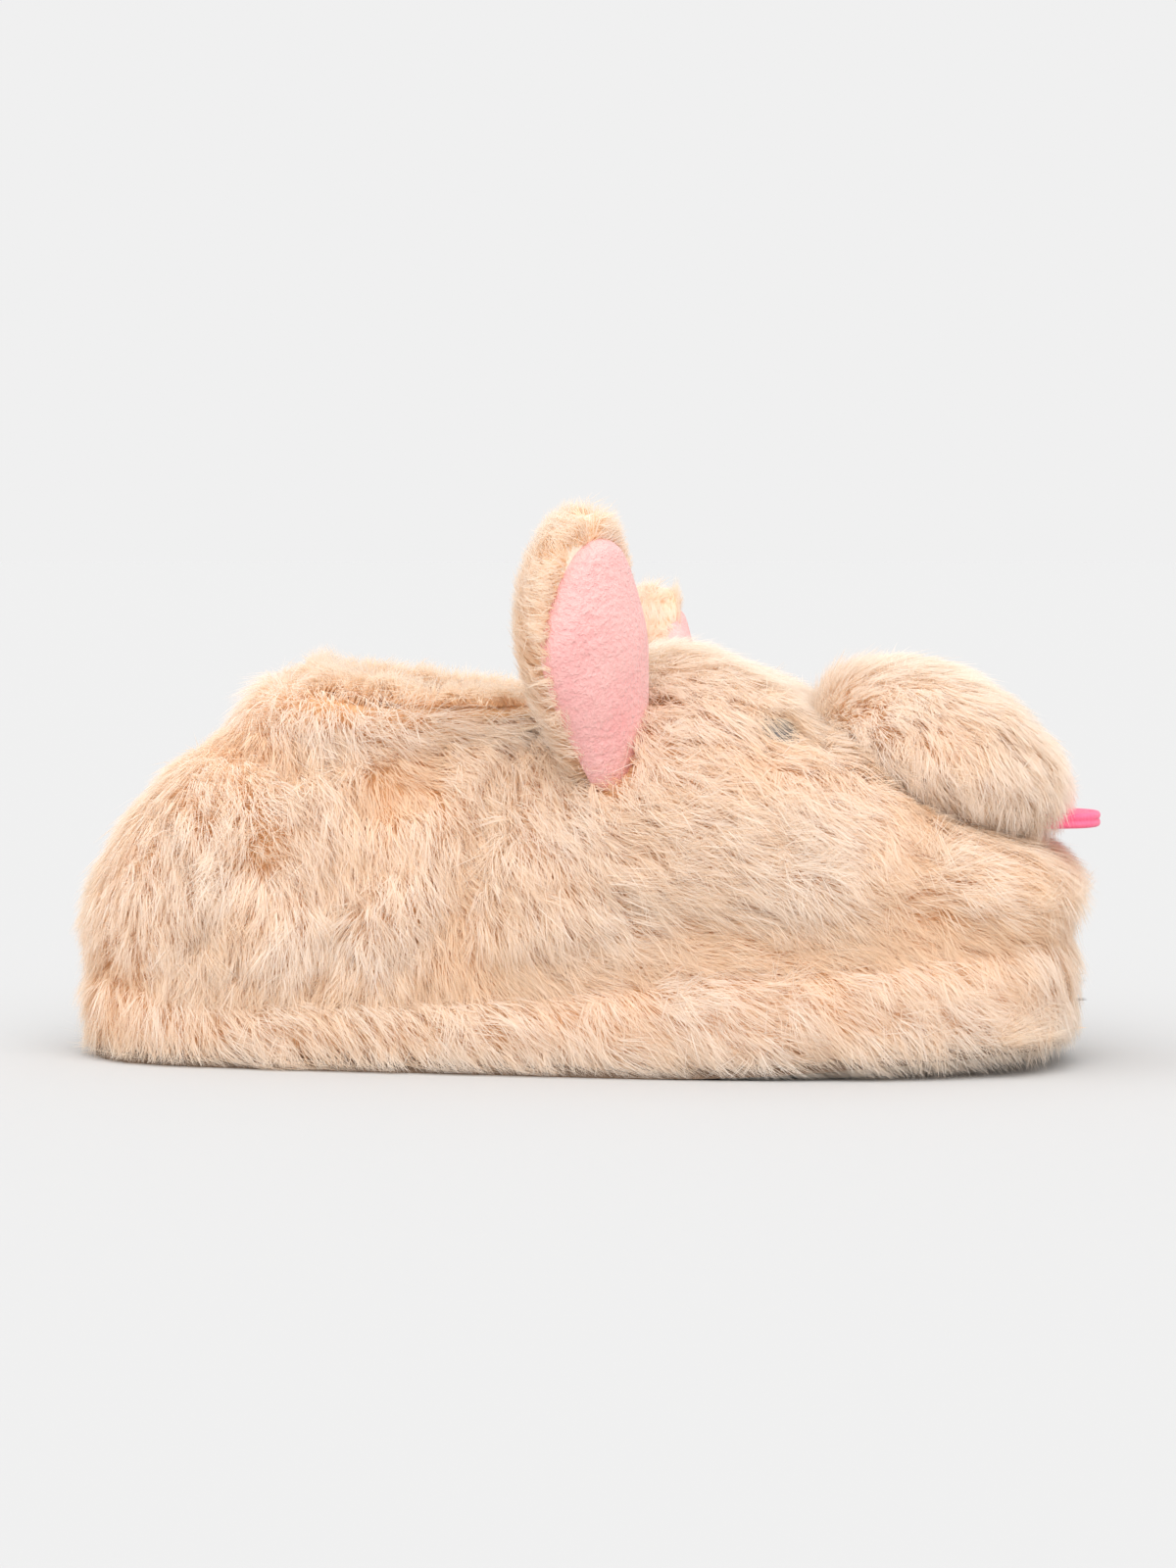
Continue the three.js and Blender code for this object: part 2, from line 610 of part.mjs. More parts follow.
// The muzzle's locks run forwards and fan out to the sides.
function muzzleLocks() {
  return MUZZLE_ROWS.flatMap(({ tip, count }, row) =>
    Array.from({ length: count }, (_, n) => {
      const share = (n + 0.5 + 0.25 * uneven(n, row)) / count;
      const around = Math.PI * mix(-0.08, 1.08, share);
      const size = MUZZLE_LOCK_SIZE + 0.1 * uneven(n, row);
      const fan = MUZZLE_LOCK_FAN * Math.sign(share - 0.5);
      const place = (way) => muzzlePlace(tip + way * MUZZLE_LOCK_REACH, around + way * fan);
      return { root: place(0), middle: place(0.5), tip: place(1), size };
    }).filter(({ tip: end }) => end.point.distanceTo(NOSE_CENTRE) > NOSE_WIDTH * 0.8),
  );
}

function muzzleForm(grow) {
  const locks = muzzleLocks().map((place) => lock({ ...place, grow }));
  return wasm.Manifold.union([muzzleBody(grow), ...locks]);
}

// Nose, tongue and eyes

// A rounded pad, fuller at the top, set in the cleft of the muzzle.
function noseForm(grow) {
  const half = vec(NOSE_PROUD + grow, NOSE_WIDTH / 2 + grow, NOSE_HEIGHT / 2 + grow);
  const tilt = new THREE.Matrix4().makeRotationY(degrees(-NOSE_TILT));
  const rings = [36, 72, 108, 144].map((tip) =>
    Array.from({ length: 14 }, (_, j) => {
      const around = (2 * Math.PI * j) / 14;
      const wide = Math.sin(degrees(tip)) ** NOSE_ROUND;
      const taper = 1 + NOSE_TAPER * Math.sin(around);
      return vec(
        -Math.cos(degrees(tip)) * half.x,
        wide * Math.cos(around) * taper * half.y,
        wide * Math.sin(around) * half.z,
      ).applyMatrix4(tilt).add(NOSE_CENTRE);
    }),
  );
  const pole = (x) => vec(x, 0, 0).applyMatrix4(tilt).add(NOSE_CENTRE);
  return loft(rings, pole(-half.x), pole(half.x));
}

// A flat felt tab with a round end, sewn in under the muzzle and resting on the toe.
function tongueForm(grow) {
  const half = TONGUE_WIDTH / 2 + grow;
  const round = half * TONGUE_ROUND;
  const straight = TONGUE_LENGTH + grow - round;
  const shape = new THREE.Shape();
  shape.moveTo(-grow, -half);
  shape.lineTo(straight, -half);
  shape.absellipse(straight, 0, round, half, -Math.PI / 2, Math.PI / 2, false);
  shape.lineTo(-grow, half);
  shape.closePath();
  const depth = TONGUE_THICKNESS + 2 * grow;
  const options = { depth, bevelEnabled: false, curveSegments: 10 };
  const geometry = new THREE.ExtrudeGeometry(shape, options);
  const tip = alongFoot(1) + TONGUE_PROUD;
  geometry.translate(tip - TONGUE_LENGTH, drift(1), TOE_HEIGHT + TONGUE_LIFT - grow);
  return fromGeometry(geometry);
}

function fromGeometry(geometry) {
  const plain = geometry.index ? geometry.toNonIndexed() : geometry;
  const at = plain.attributes.position;
  const points = Array.from({ length: at.count }, (_, i) => vec(at.getX(i), at.getY(i), at.getZ(i)));
  const faces = Array.from({ length: at.count / 3 }, (_, i) => [3 * i, 3 * i + 1, 3 * i + 2]);
  return solidOf(points, faces);
}

function eyePlace(side) {
  return upperPlace(EYE_SHARE, side, EYE_UP);
}

// A low round dome, sewn flat on the pile.
function eyeForm(side, grow) {
  const { point, out } = eyePlace(side);
  const radius = EYE_DIAMETER / 2 + grow;
  const dome = EYE_DOME + grow;
  const profile = [new THREE.Vector2(0, -EYE_DOME), new THREE.Vector2(radius, -EYE_DOME)];
  for (let n = 0; n <= 4; n++) {
    const angle = (Math.PI / 2) * (n / 4);
    profile.push(new THREE.Vector2(radius * Math.cos(angle), dome * Math.sin(angle)));
  }
  profile[profile.length - 1].x = 0;
  const geometry = new THREE.LatheGeometry(profile, 14);
  geometry.applyQuaternion(new THREE.Quaternion().setFromUnitVectors(vec(0, 1, 0), out));
  geometry.translate(point.x, point.y, point.z);
  return fromGeometry(geometry);
}

// Ears

// An ear's own axes about its root: up its length, out of its lining and towards the head.
function earFrame({ side, turn, lean, back, ahead, low }) {
  const face = vec(Math.cos(degrees(turn)), side * Math.sin(degrees(turn)), 0);
  const outward = vec(0, side, 0);
  const up = vec(0, 0, 1)
    .addScaledVector(outward, Math.tan(degrees(lean)))
    .addScaledVector(vec(1, 0, 0), -Math.tan(degrees(back)))
    .normalize();
  const inward = up.clone().cross(face).multiplyScalar(-side).normalize();
  const front = inward.clone().cross(up).multiplyScalar(-side).normalize();
  const place = drift(EAR_AT) + side * (BALL_WIDTH / 2 - EAR_INSET);
  const root = vec(alongFoot(EAR_AT) + ahead, place, EAR_ROOT_HEIGHT - low);
  return { root, up, front, inward };
}

function earPoint(ear, at, wide, deep) {
  const { root, up, front, inward } = earFrame(ear);
  const across = wide + read(EAR_OUTLINE, "inward", at);
  return root
    .clone()
    .addScaledVector(up, at * EAR_LENGTH)
    .addScaledVector(inward, (across * EAR_WIDTH) / 2)
    .addScaledVector(front, deep);
}

// A stuffed leaf: rings along the ear, deeper behind than in front.
function earLeaf(ear, { share = 1, front = EAR_FRONT_DEPTH, behind = EAR_BACK_DEPTH, grow = 0 }) {
  const ats = [0, 0.12, 0.26, 0.42, 0.58, 0.72, 0.84, 0.93, 0.985];
  const extra = (2 * grow) / EAR_WIDTH;
  const place = (at) => at * (1 - (1 - share) * LINING_DROP);
  const rings = ats.map((at) =>
    Array.from({ length: 16 }, (_, j) => {
      const angle = (2 * Math.PI * j) / 16;
      const half = read(EAR_OUTLINE, "half", at) * share + extra;
      const puff = read(EAR_OUTLINE, "puff", place(at));
      const deep = Math.sin(angle) > 0 ? front * puff + grow : behind * puff + grow;
      return earPoint(ear, place(at), half * Math.cos(angle), deep * Math.sin(angle));
    }),
  );
  const end = earPoint(ear, place(1) + grow / EAR_LENGTH, 0, 0);
  const start = earPoint(ear, place(0) - grow / EAR_LENGTH, 0, 0);
  return loft(rings, start, end);
}

// The lining: a thin puffed skin over the front of the ear.
function liningForm(ear, grow) {
  const raised = EAR_FRONT_DEPTH + LINING_THICKNESS + CLEARANCE;
  return earLeaf(ear, { share: LINING_SHARE, front: raised, behind: LINING_BACK, grow });
}

// Locks on an ear's back and outer rim, at shares of its length and degrees about it.
const EAR_LOCK_ROWS = [
  { at: 0.14, angles: [190, 236, 284] },
  { at: 0.42, angles: [184, 214, 252, 296] },
  { at: 0.7, angles: [194, 246, 300] },
];

function earPlace(ear, at, angle) {
  const half = read(EAR_OUTLINE, "half", at);
  const deep = EAR_BACK_DEPTH * read(EAR_OUTLINE, "puff", at);
  const { front, inward } = earFrame(ear);
  const out = inward.clone().multiplyScalar(Math.cos(angle) / half);
  out.addScaledVector(front, (Math.sin(angle) * EAR_WIDTH) / (2 * deep)).normalize();
  return { point: earPoint(ear, at, half * Math.cos(angle), deep * Math.sin(angle)), out };
}

function earLocks(ear) {
  return EAR_LOCK_ROWS.flatMap(({ at, angles }, row) =>
    angles.map((degree, n) => {
      const size = EAR_LOCK_SIZE * (1 + 0.1 * uneven(row, n));
      const along = (way) => Math.min(at + way * EAR_LOCK_REACH, 0.96);
      const place = (way) => earPlace(ear, along(way), degrees(degree));
      return { root: place(0), middle: place(0.5), tip: place(1), size };
    }),
  );
}

function earForm(ear, grow) {
  const locks = earLocks(ear).map((place) => lock({ ...place, grow }));
  return wasm.Manifold.union([earLeaf(ear, { grow }), ...locks]);
}

// About how far a point is outside an ear, in millimetres.
function earDistance(ear, point) {
  const { root, up, front, inward } = earFrame(ear);
  const from = point.clone().sub(root);
  const beyond = (v, low, high) => Math.max(low - v, v - high, 0);
  return Math.hypot(
    beyond(from.dot(up), 0, EAR_LENGTH),
    beyond(from.dot(inward), -EAR_WIDTH / 2, EAR_WIDTH / 2),
    beyond(from.dot(front), -EAR_BACK_DEPTH, EAR_FRONT_DEPTH),
  );
}

// The sole

// The foam midsole in its pile wrap, with a rim that the upper's wall stands on and a footbed
// recessed inside it.
const WRAP_RINGS = [
  { inset: 9, lift: 0.0 },
  { inset: 3.5, lift: 0.14 },
  { inset: 2.6, lift: 0.46 },
  { inset: 3.0, lift: 0.78 },
  { inset: 4.8, lift: 1.0 },
];

function wrapHeight(at, lift, grow = 0) {
  const bottom = spring(at) + OUTSOLE_THICKNESS + CLEARANCE - grow;
  return mix(bottom, seamHeight(at) - CLEARANCE + grow, lift);
}

function wrapRings(grow) {
  return WRAP_RINGS.map(({ inset, lift }) =>
    footRing(inset - grow, (at) => wrapHeight(at, lift, grow)),
  );
}

function wrapBody() {
  const rim = SEAM_DEPTH + WALL + FOOTBED_RIM;
  return footLoft([
    ...wrapRings(0),
    footRing(rim, (at) => wrapHeight(at, 1)),
    footRing(rim + FOOTBED_TAPER, () => FOOTBED_HEIGHT),
  ]);
}

// Rows of locks on the wrap. lift and reach: the root's height and the drop to the tip, shares of
// the wrap's height. start: the first rib that has one, and every third rib after it has.
const WRAP_LOCK_ROWS = [
  { lift: 0.74, reach: 0.4, start: 0 },
  { lift: 0.54, reach: 0.3, start: 1 },
];

// A place on the side of the wrap, between two ribs.
function wrapPlace(column, lift) {
  const i = Math.max(1, WRAP_RINGS.findIndex((ring) => ring.lift >= lift));
  const [low, high] = [WRAP_RINGS[i - 1], WRAP_RINGS[i]];
  const inset = mix(low.inset, high.inset, (lift - low.lift) / (high.lift - low.lift));
  const ring = footRing(inset, (at) => wrapHeight(at, lift));
  const count = ring.length;
  const at = (n) => ring[((n % count) + count) % count];
  const j = Math.floor(column);
  const along = at(j + 1).clone().sub(at(j)).normalize();
  const point = at(j).clone().lerp(at(j + 1), column - j);
  return { point, out: vec(along.y, -along.x, 0).normalize() };
}

// The wrap's locks run down and about two ribs towards the toe.
function wrapLocks() {
  return WRAP_LOCK_ROWS.flatMap(({ lift, reach, start }, row) =>
    RIBS.flatMap(({ side }, j) => {
      if (j % 3 !== start) return [];
      const size = 0.95 + 0.12 * uneven(j, row);
      const ahead = (2.2 + 0.4 * uneven(j, row + 5)) * -side;
      const place = (way) => wrapPlace(j + way * ahead, lift - way * reach);
      return [{ root: place(0), middle: place(0.5), tip: place(1), size }];
    }),
  );
}

function wrapForm(grow) {
  const locks = wrapLocks().map((place) => lock({ ...place, grow }));
  return wasm.Manifold.union([footLoft(wrapRings(grow)), ...locks]);
}

// The outsole: a thin sheet with a toe spring and shallow grip grooves across it.
const GROOVES = [0.1, 0.16, 0.22, 0.28, 0.6, 0.66, 0.72, 0.78, 0.84];

function outsoleSheet(grow) {
  return footLoft([
    footRing(OUTSOLE_INSET - grow, (at) => spring(at) - grow),
    footRing(OUTSOLE_INSET - grow, (at) => spring(at) + OUTSOLE_THICKNESS + grow),
  ]);
}

function outsole() {
  const grooves = GROOVES.map((at) => {
    const long = 2 * halfWidth(at) - 4 * OUTSOLE_INSET;
    const bar = new THREE.BoxGeometry(GROOVE_WIDTH, long, 2 * GROOVE_DEPTH);
    bar.translate(alongFoot(at), drift(at), spring(at));
    return fromGeometry(bar);
  });
  return without(outsoleSheet(0), ...grooves);
}

// The insole: a soft slab with a rounded top edge, loose in the recess of the footbed.
function insole() {
  const inset = SEAM_DEPTH + WALL + INSOLE_INSET;
  const bed = FOOTBED_HEIGHT + CLEARANCE;
  return footLoft([
    footRing(inset, () => bed),
    footRing(inset, () => bed + INSOLE_THICKNESS * INSOLE_EDGE),
    footRing(inset + INSOLE_ROUND, () => bed + INSOLE_THICKNESS),
  ]);
}

// The assembly

const group = new THREE.Group();

function add(name, solid, material) {
  const made = solid.getMesh();
  const position = new Float32Array(made.numVert * 3);
  for (let i = 0; i < made.numVert; i++)
    for (let k = 0; k < 3; k++) position[3 * i + k] = made.vertProperties[i * made.numProp + k];
  const geometry = new THREE.BufferGeometry()
    .setAttribute("position", new THREE.BufferAttribute(position, 3))
    .setIndex(new THREE.BufferAttribute(made.triVerts, 1));
  geometry.computeVertexNormals();
  const mesh = new THREE.Mesh(geometry, material);
  mesh.name = name;
  group.add(mesh);
}

const envelope = upperEnvelope(1.5 * CLEARANCE);
const tongueRoom = tongueForm(CLEARANCE);
const muzzleRoom = muzzleForm(2 * CLEARANCE);
const wrapRoom = wrapForm(CLEARANCE);
const earRooms = EARS.map((ear) => earForm(ear, CLEARANCE));
const liningRooms = EARS.map((ear) => liningForm(ear, CLEARANCE));
const eyeRooms = [-1, 1].map((side) => eyeForm(side, CLEARANCE));

const locks = wasm.Manifold.union(upperLocks().map(lock));
const freeLocks = without(locks, muzzleRoom, wrapRoom, ...earRooms, ...liningRooms, ...eyeRooms);
add("upper", largest(without(upperShell().add(freeLocks), tongueRoom)), MATERIALS.plush);

const wrapTufts = wasm.Manifold.union(wrapLocks().map(lock)).trimByPlane([0, 0, 1], FRINGE_HEIGHT);
const fringe = without(wrapTufts, envelope, outsoleSheet(CLEARANCE));
add("sole_wrap", largest(wrapBody().add(fringe)), MATERIALS.plush);
add("outsole", outsole(), MATERIALS.rubber);
add("insole", insole(), MATERIALS.fleece);

add("muzzle", largest(without(muzzleForm(0), envelope, tongueRoom)), MATERIALS.plush);
add("nose", largest(without(noseForm(0), muzzleRoom)), MATERIALS.satin);
add("tongue", tongueForm(0), MATERIALS.felt);

EARS.forEach((ear, i) => {
  const body = without(earForm(ear, 0), envelope, liningRooms[i]);
  add(`ear_${ear.name}`, largest(body), MATERIALS.plush);
  const skin = without(liningForm(ear, 0), envelope, earLeaf(ear, { grow: CLEARANCE }));
  add(`ear_lining_${ear.name}`, largest(skin), MATERIALS.velour);
  const eye = without(eyeForm(ear.side, 0), envelope, muzzleRoom);
  add(`eye_${ear.name}`, largest(eye), MATERIALS.satin);
});

export default group;
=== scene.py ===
"""A plush dog-faced slipper for the right foot: combed pile, fleece, velour, felt and a studio.

X runs from heel to toe, Y to the wearer's left and Z up, in metres. Tables give lengths in
millimetres or as shares of the sizes named in their comments.
"""

import math

import bmesh
import bpy
import numpy as np
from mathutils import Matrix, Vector


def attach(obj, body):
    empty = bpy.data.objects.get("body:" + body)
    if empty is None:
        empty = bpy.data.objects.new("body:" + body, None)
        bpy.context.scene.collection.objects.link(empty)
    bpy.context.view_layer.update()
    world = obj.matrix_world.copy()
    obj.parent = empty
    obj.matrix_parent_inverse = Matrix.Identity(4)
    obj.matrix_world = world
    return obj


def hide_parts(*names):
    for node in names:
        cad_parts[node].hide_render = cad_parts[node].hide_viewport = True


bl_info = {
    "name": "Plush dog-faced slipper",
    "version": (1, 0, 0),
    "blender": (4, 5, 0),
    "location": "View3D > Sidebar > Slipper",
    "description": "Dresses a slipper's frame in combed pile, velour, felt and fleece",
    "category": "Add Mesh",
}

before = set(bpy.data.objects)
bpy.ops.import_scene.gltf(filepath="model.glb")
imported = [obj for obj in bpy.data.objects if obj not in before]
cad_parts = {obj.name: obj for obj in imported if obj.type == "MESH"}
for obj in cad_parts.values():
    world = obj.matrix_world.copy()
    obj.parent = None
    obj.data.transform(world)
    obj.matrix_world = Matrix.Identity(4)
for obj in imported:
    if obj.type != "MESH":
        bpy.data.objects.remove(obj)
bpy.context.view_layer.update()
BODY = "root"
MM = 0.001
X_AXIS, Z_AXIS = np.array([1.0, 0.0, 0.0]), np.array([0.0, 0.0, 1.0])
OUTER, INNER = -1, 1  # the sides of the foot: Y is below or above the middle


def table(columns, *rows):
    """A table's rows as dictionaries, with its columns' names as keys."""
    return [dict(zip(columns.split(), row)) for row in rows]


# The foot's sections. at: share of the length from the heel. half: half width, share of half the
# ball width. drift: shift towards the big toe, share of the ball width. seam: height of the seam
# over the sole, share of the band height. fullness: 2 is an elliptical rib, more is plumper.
SECTIONS = table(
    "at half drift seam fullness",
    (0.0, 0.84, 0.0, 0.96, 1.65),
    (0.18, 0.8, 0.0, 0.66, 1.85),
    (0.42, 0.84, -0.015, 0.72, 2.3),
    (0.6, 0.96, 0.0, 0.98, 2.5),
    (0.76, 1.0, 0.02, 1.02, 2.6),
    (0.9, 0.98, 0.035, 1.06, 2.8),
    (1.0, 0.95, 0.04, 1.12, 3.0),
)
HEEL_ROUND, TOE_ROUND = 2.3, 2.6  # powers of the outline's round ends
SPRING_FROM = 0.58  # share of the length where the toe spring starts

# The collar's crest from its back to the throat. height: 0 is the sides' and 1 the back's.
CREST = table(
    "at height",
    (0.0, 1.0),
    (0.2, 0.75),
    (0.45, 0.1),
    (0.75, 0.2),
    (1.0, 0.9),
)

# The ridge from the throat forwards. height: share of the way from toe height to head height.
RIDGE = table(
    "at height",
    (0.0, 0.93),
    (0.2, 1.0),
    (0.4, 0.87),
    (0.6, 0.6),
    (0.8, 0.28),
    (1.0, 0.04),
)
RIDGE_END = 0.12  # where the ridge ends, share of the length behind the toe

# Broad forms of the upper. at: share of the length, up: share of the way from seam to crest,
# long and tall: reach in the same shares, slant: forward lean, out: depth as a share of the wall.
FOLDS = table(
    "at up long tall slant out",
    (0.4, 0.3, 0.022, 0.42, 0.1, -0.36),
    (0.1, 0.86, 0.36, 0.1, 0.0, 0.4),
    (0.12, 0.64, 0.2, 0.09, 0.0, -0.34),
    (0.16, 0.36, 0.08, 0.16, 0.0, 0.26),
    (0.32, 0.55, 0.05, 0.14, 0.2, -0.3),
    (0.62, 0.36, 0.14, 0.22, 0.0, 0.24),
    (0.9, 0.62, 0.05, 0.12, -0.2, -0.26),
)

# Creases of the pile, seen from the side, in millimetres. x: ahead of the middle, z: over the
# floor, long and wide: reach along and across the crease, turn: degrees up from level, out: depth.
CREASES = table(
    "side x z long wide turn out",
    (OUTER, -75, 78, 15, 4.5, -24, -3.4),
    (OUTER, -67, 66, 11, 4, -62, -2.6),
    (OUTER, -41, 68, 11, 5, -8, -3.6),
    (OUTER, -71, 49, 8, 6, -50, -2.4),
    (OUTER, -98, 58, 9, 3, -55, -1.8),
    (OUTER, -18, 47, 24, 3.0, 75, -4.6),
    (OUTER, -55, 29, 8, 4, 55, -2.6),
    (OUTER, -88, 32, 14, 4, 62, -1.8),
    (OUTER, -38, 44, 9, 9, 0, 1.8),
    (OUTER, 50, 83, 11, 4, -12, -2.2),
    (OUTER, 30, 84, 9, 3, -62, -1.3),
    (OUTER, 60, 86, 10, 4, -62, -2.4),
    (OUTER, 89, 39, 10, 6, 10, -2.0),
    (OUTER, 22, 40, 16, 5, -20, -1.4),
    (INNER, -70, 76, 16, 5, -18, -3.0),
    (INNER, -46, 58, 10, 5, -48, -2.6),
    (INNER, -20, 46, 24, 3.0, 75, -4.6),
    (INNER, -84, 42, 9, 5, 60, -2.2),
    (INNER, 50, 83, 11, 4, -12, -2.2),
    (INNER, 76, 44, 14, 6, -14, -1.8),
)

# Whorls, where the pile parts and runs away from a place. reach: millimetres, pull: strength.
WHORLS = table(
    "side x z reach pull",
    (OUTER, -71, 50, 9, 0.8),
    (OUTER, -40, 69, 9, 0.7),
    (OUTER, -43, 38, 10, 0.5),
    (OUTER, -107, 21, 9, 0.7),
    (OUTER, 88, 39, 10, 0.5),
    (INNER, -60, 52, 10, 0.8),
    (INNER, 70, 40, 11, 0.8),
)

# The comb's way over the upper, in degrees below level towards the toe. low: at the seam,
# high: at the crest.
COMB = table(
    "at low high",
    (0.0, 88, 84),
    (0.14, 86, 52),
    (0.28, 84, 26),
    (0.4, 78, 30),
    (0.5, 30, 58),
    (0.65, 16, 62),
    (0.8, 20, 52),
    (0.92, 12, 24),
    (1.0, 8, 16),
)

# The sole band from the sole up. at: share of its height, inset: millimetres inside the outline.
BAND = table(
    "at inset",
    (0.0, 9),
    (0.14, 3.5),
    (0.46, 2.6),
    (0.78, 3.0),
    (1.0, 4.8),
)

# An ear's outline. at: share of its length. half and inward: half width and shift towards the
# head, shares of half its width. puff: share of its depth.
EAR_OUTLINE = table(
    "at half inward puff",
    (0.0, 0.4, 0.5, 0.5),
    (0.2, 0.7, 0.3, 0.76),
    (0.45, 0.96, 0.06, 0.96),
    (0.65, 1.0, 0.0, 1.0),
    (0.86, 0.82, 0.04, 0.86),
    (1.0, 0.4, 0.12, 0.46),
)

# Where each ear is sewn on. turn: degrees from facing ahead to facing sideways, lean: outwards,
# back: backwards, ahead and low: millimetres ahead of the other and below it.
EARS = table(
    "name side turn lean back ahead low",
    ("right", OUTER, 37, 5, -1, 0, 0),
    ("left", INNER, 26, 38, 2, 7, 8),
)

# The pile of each region. length, height and width: shares of the pile's sizes. droop:
# millimetres that a tip sinks, count: how many strands.
PILES = {
    row["region"]: row
    for row in table(
        "region length height width droop count",
        ("quarter", 1.0, 1.0, 1.0, 0.8, 60000),
        ("vamp", 1.1, 0.95, 1.0, 0.7, 58000),
        ("head", 0.95, 0.95, 0.95, 0.4, 28000),
        ("band", 1.15, 0.82, 1.0, 0.9, 50000),
        ("muzzle", 1.0, 0.88, 1.0, 0.5, 36000),
        ("collar", 0.75, 0.95, 0.9, 0.3, 22000),
        ("ear", 0.7, 0.74, 0.9, 0.1, 15000),
    )
}
STEPS = 2  # pieces along a strand
LOCK_STRAY, TUFT_STRAY, STRAND_STRAY = 0.34, 0.34, 0.16  # how far each leaves the comb
LOCK_PULL, TUFT_PULL = 0.08, 0.76  # how far a tip is drawn to the middle of its lock and tuft
SWIRL_SIZE, SWIRL_TURN = 26 * MM, 0.5  # how broad the comb's swirls are, and how far they turn
BILLOW_SIZE, BILLOW = 16 * MM, 0.16  # how broad the pile's soft rises are, and how high
WAVE, WAVES = 0.35 * MM, 1.4  # how far a strand waves at its tip, and how many half waves it has
STRAND_TURN = 0.6  # how far a ribbon may turn about its own line, in radians
LOWEST = 0.4 * MM  # how near the floor a strand may hang
TRANSLUCENCE = 0.6  # share of the light that comes through a strand
MIDDLE_HEIGHT = 0.92  # the strand height, as a share of the region's, between painted shade and painted light: lower strands are painted darker, higher ones paler

FOOT_COLUMNS = 144  # points in a ring round the foot
VAMP_FROM, HEAD_FROM = 0.42, 0.62  # where the vamp starts along the foot, and the head up it
ROLL_SINK = 2.6 * MM  # how deep the backing lies under the rolled edge
BAND_SINK, MUZZLE_SINK, EAR_SINK = 0.78, 0.84, 0.62  # depths of backing, shares of pile height
NOSE_TIP, NOSE_TILT = math.radians(137), math.radians(-34)  # its place on the muzzle, its lean
NOSE_SINK, NOSE_TAPER = 1.5 * MM, 0.28  # how deep it is sewn in, how much wider its top is
EYE_AT, EYE_UP = 0.735, 0.585  # the eyes' place, along the foot and up from the seam
EYE_RIM = [(0, -1), (0.9, -1), (1, -0.8), (1, -0.1)]  # shares of radius and dome, back to front
TONGUE_ROUND = 2.4, 12.0  # powers of the tongue's outline, at its tip and at its seam
# The felt's rounded edge: shares of the outline and of half the thickness.
FELT_EDGE = [(0.975, 0.93), (0.995, 0.7), (1.0, 0.5), (0.995, 0.25), (0.975, 0.04)]
END_SHARE = 0.8  # how much of the lining's smaller size shortens it at its tip
ARCH_FROM, LINING_ARCH = 0.55, 0.25  # where the lining starts to narrow, and how much

FLOOR_HALF = 40.0
# Each light's name, power, spread in degrees and the way towards it.
LIGHTS = (("key", 2.0, 60, (0.3, -0.8, 1.0)), ("fill", 1.2, 80, (-0.5, -0.4, 1.0)))


def linear(red, green, blue):
    """Light for a screen colour from 0 to 255: the sRGB curve undone."""
    shares = np.array([red, green, blue]) / 255
    low, high = shares / 12.92, ((shares + 0.055) / 1.055) ** 2.4
    return tuple(np.where(shares < 0.04045, low, high).tolist())


def size(name, description, default):
    """A length property, given in millimetres."""
    return bpy.props.FloatProperty(
        name=name, description=description, default=default * MM, min=0, unit="LENGTH", precision=4
    )


def paint(name, description, *screen):
    """A colour property, given as a screen colour."""
    return bpy.props.FloatVectorProperty(
        name=name, description=description, default=linear(*screen), subtype="COLOR", min=0, max=1
    )


class SlipperSizes(bpy.types.PropertyGroup):
    """The slipper's sizes, over the pile."""

    length: size("Length", "Back of the heel to the toe", 250)
    ball_width: size("Ball width", "Across the ball of the foot", 108)
    band_height: size("Band height", "Floor to the seam beside the ball", 25)
    toe_spring: size("Toe spring", "Lift of the sole at the toe", 5.5)
    heel_height: size("Heel height", "Floor to the back of the collar", 94.5)
    rim_height: size("Rim height", "Floor to the sides of the collar", 89.5)
    head_height: size("Head height", "Floor to the forehead", 103)
    toe_height: size("Toe height", "Floor to the toe under the muzzle", 56)
    collar_back: size("Collar back", "The collar's back edge ahead of the heel", 61)
    collar_length: size("Collar length", "Back edge to throat", 72)
    collar_width: size("Collar width", "Across the opening", 66)
    roll_width: size("Roll width", "How far the rolled edge bulges into the opening", 5)
    wall: size("Wall", "Lining, foam, backing and laid pile", 9)
    seam_depth: size("Seam depth", "How far the pile draws in above the sole", 4)
    outsole: size("Outsole", "Thickness of the grip sheet", 2.5)
    footbed: size("Footbed", "Floor to the foam under the insole", 15)
    insole: size("Insole", "Thickness of the insole", 5)
    clearance: size("Clearance", "Between pieces that touch", 0.3)


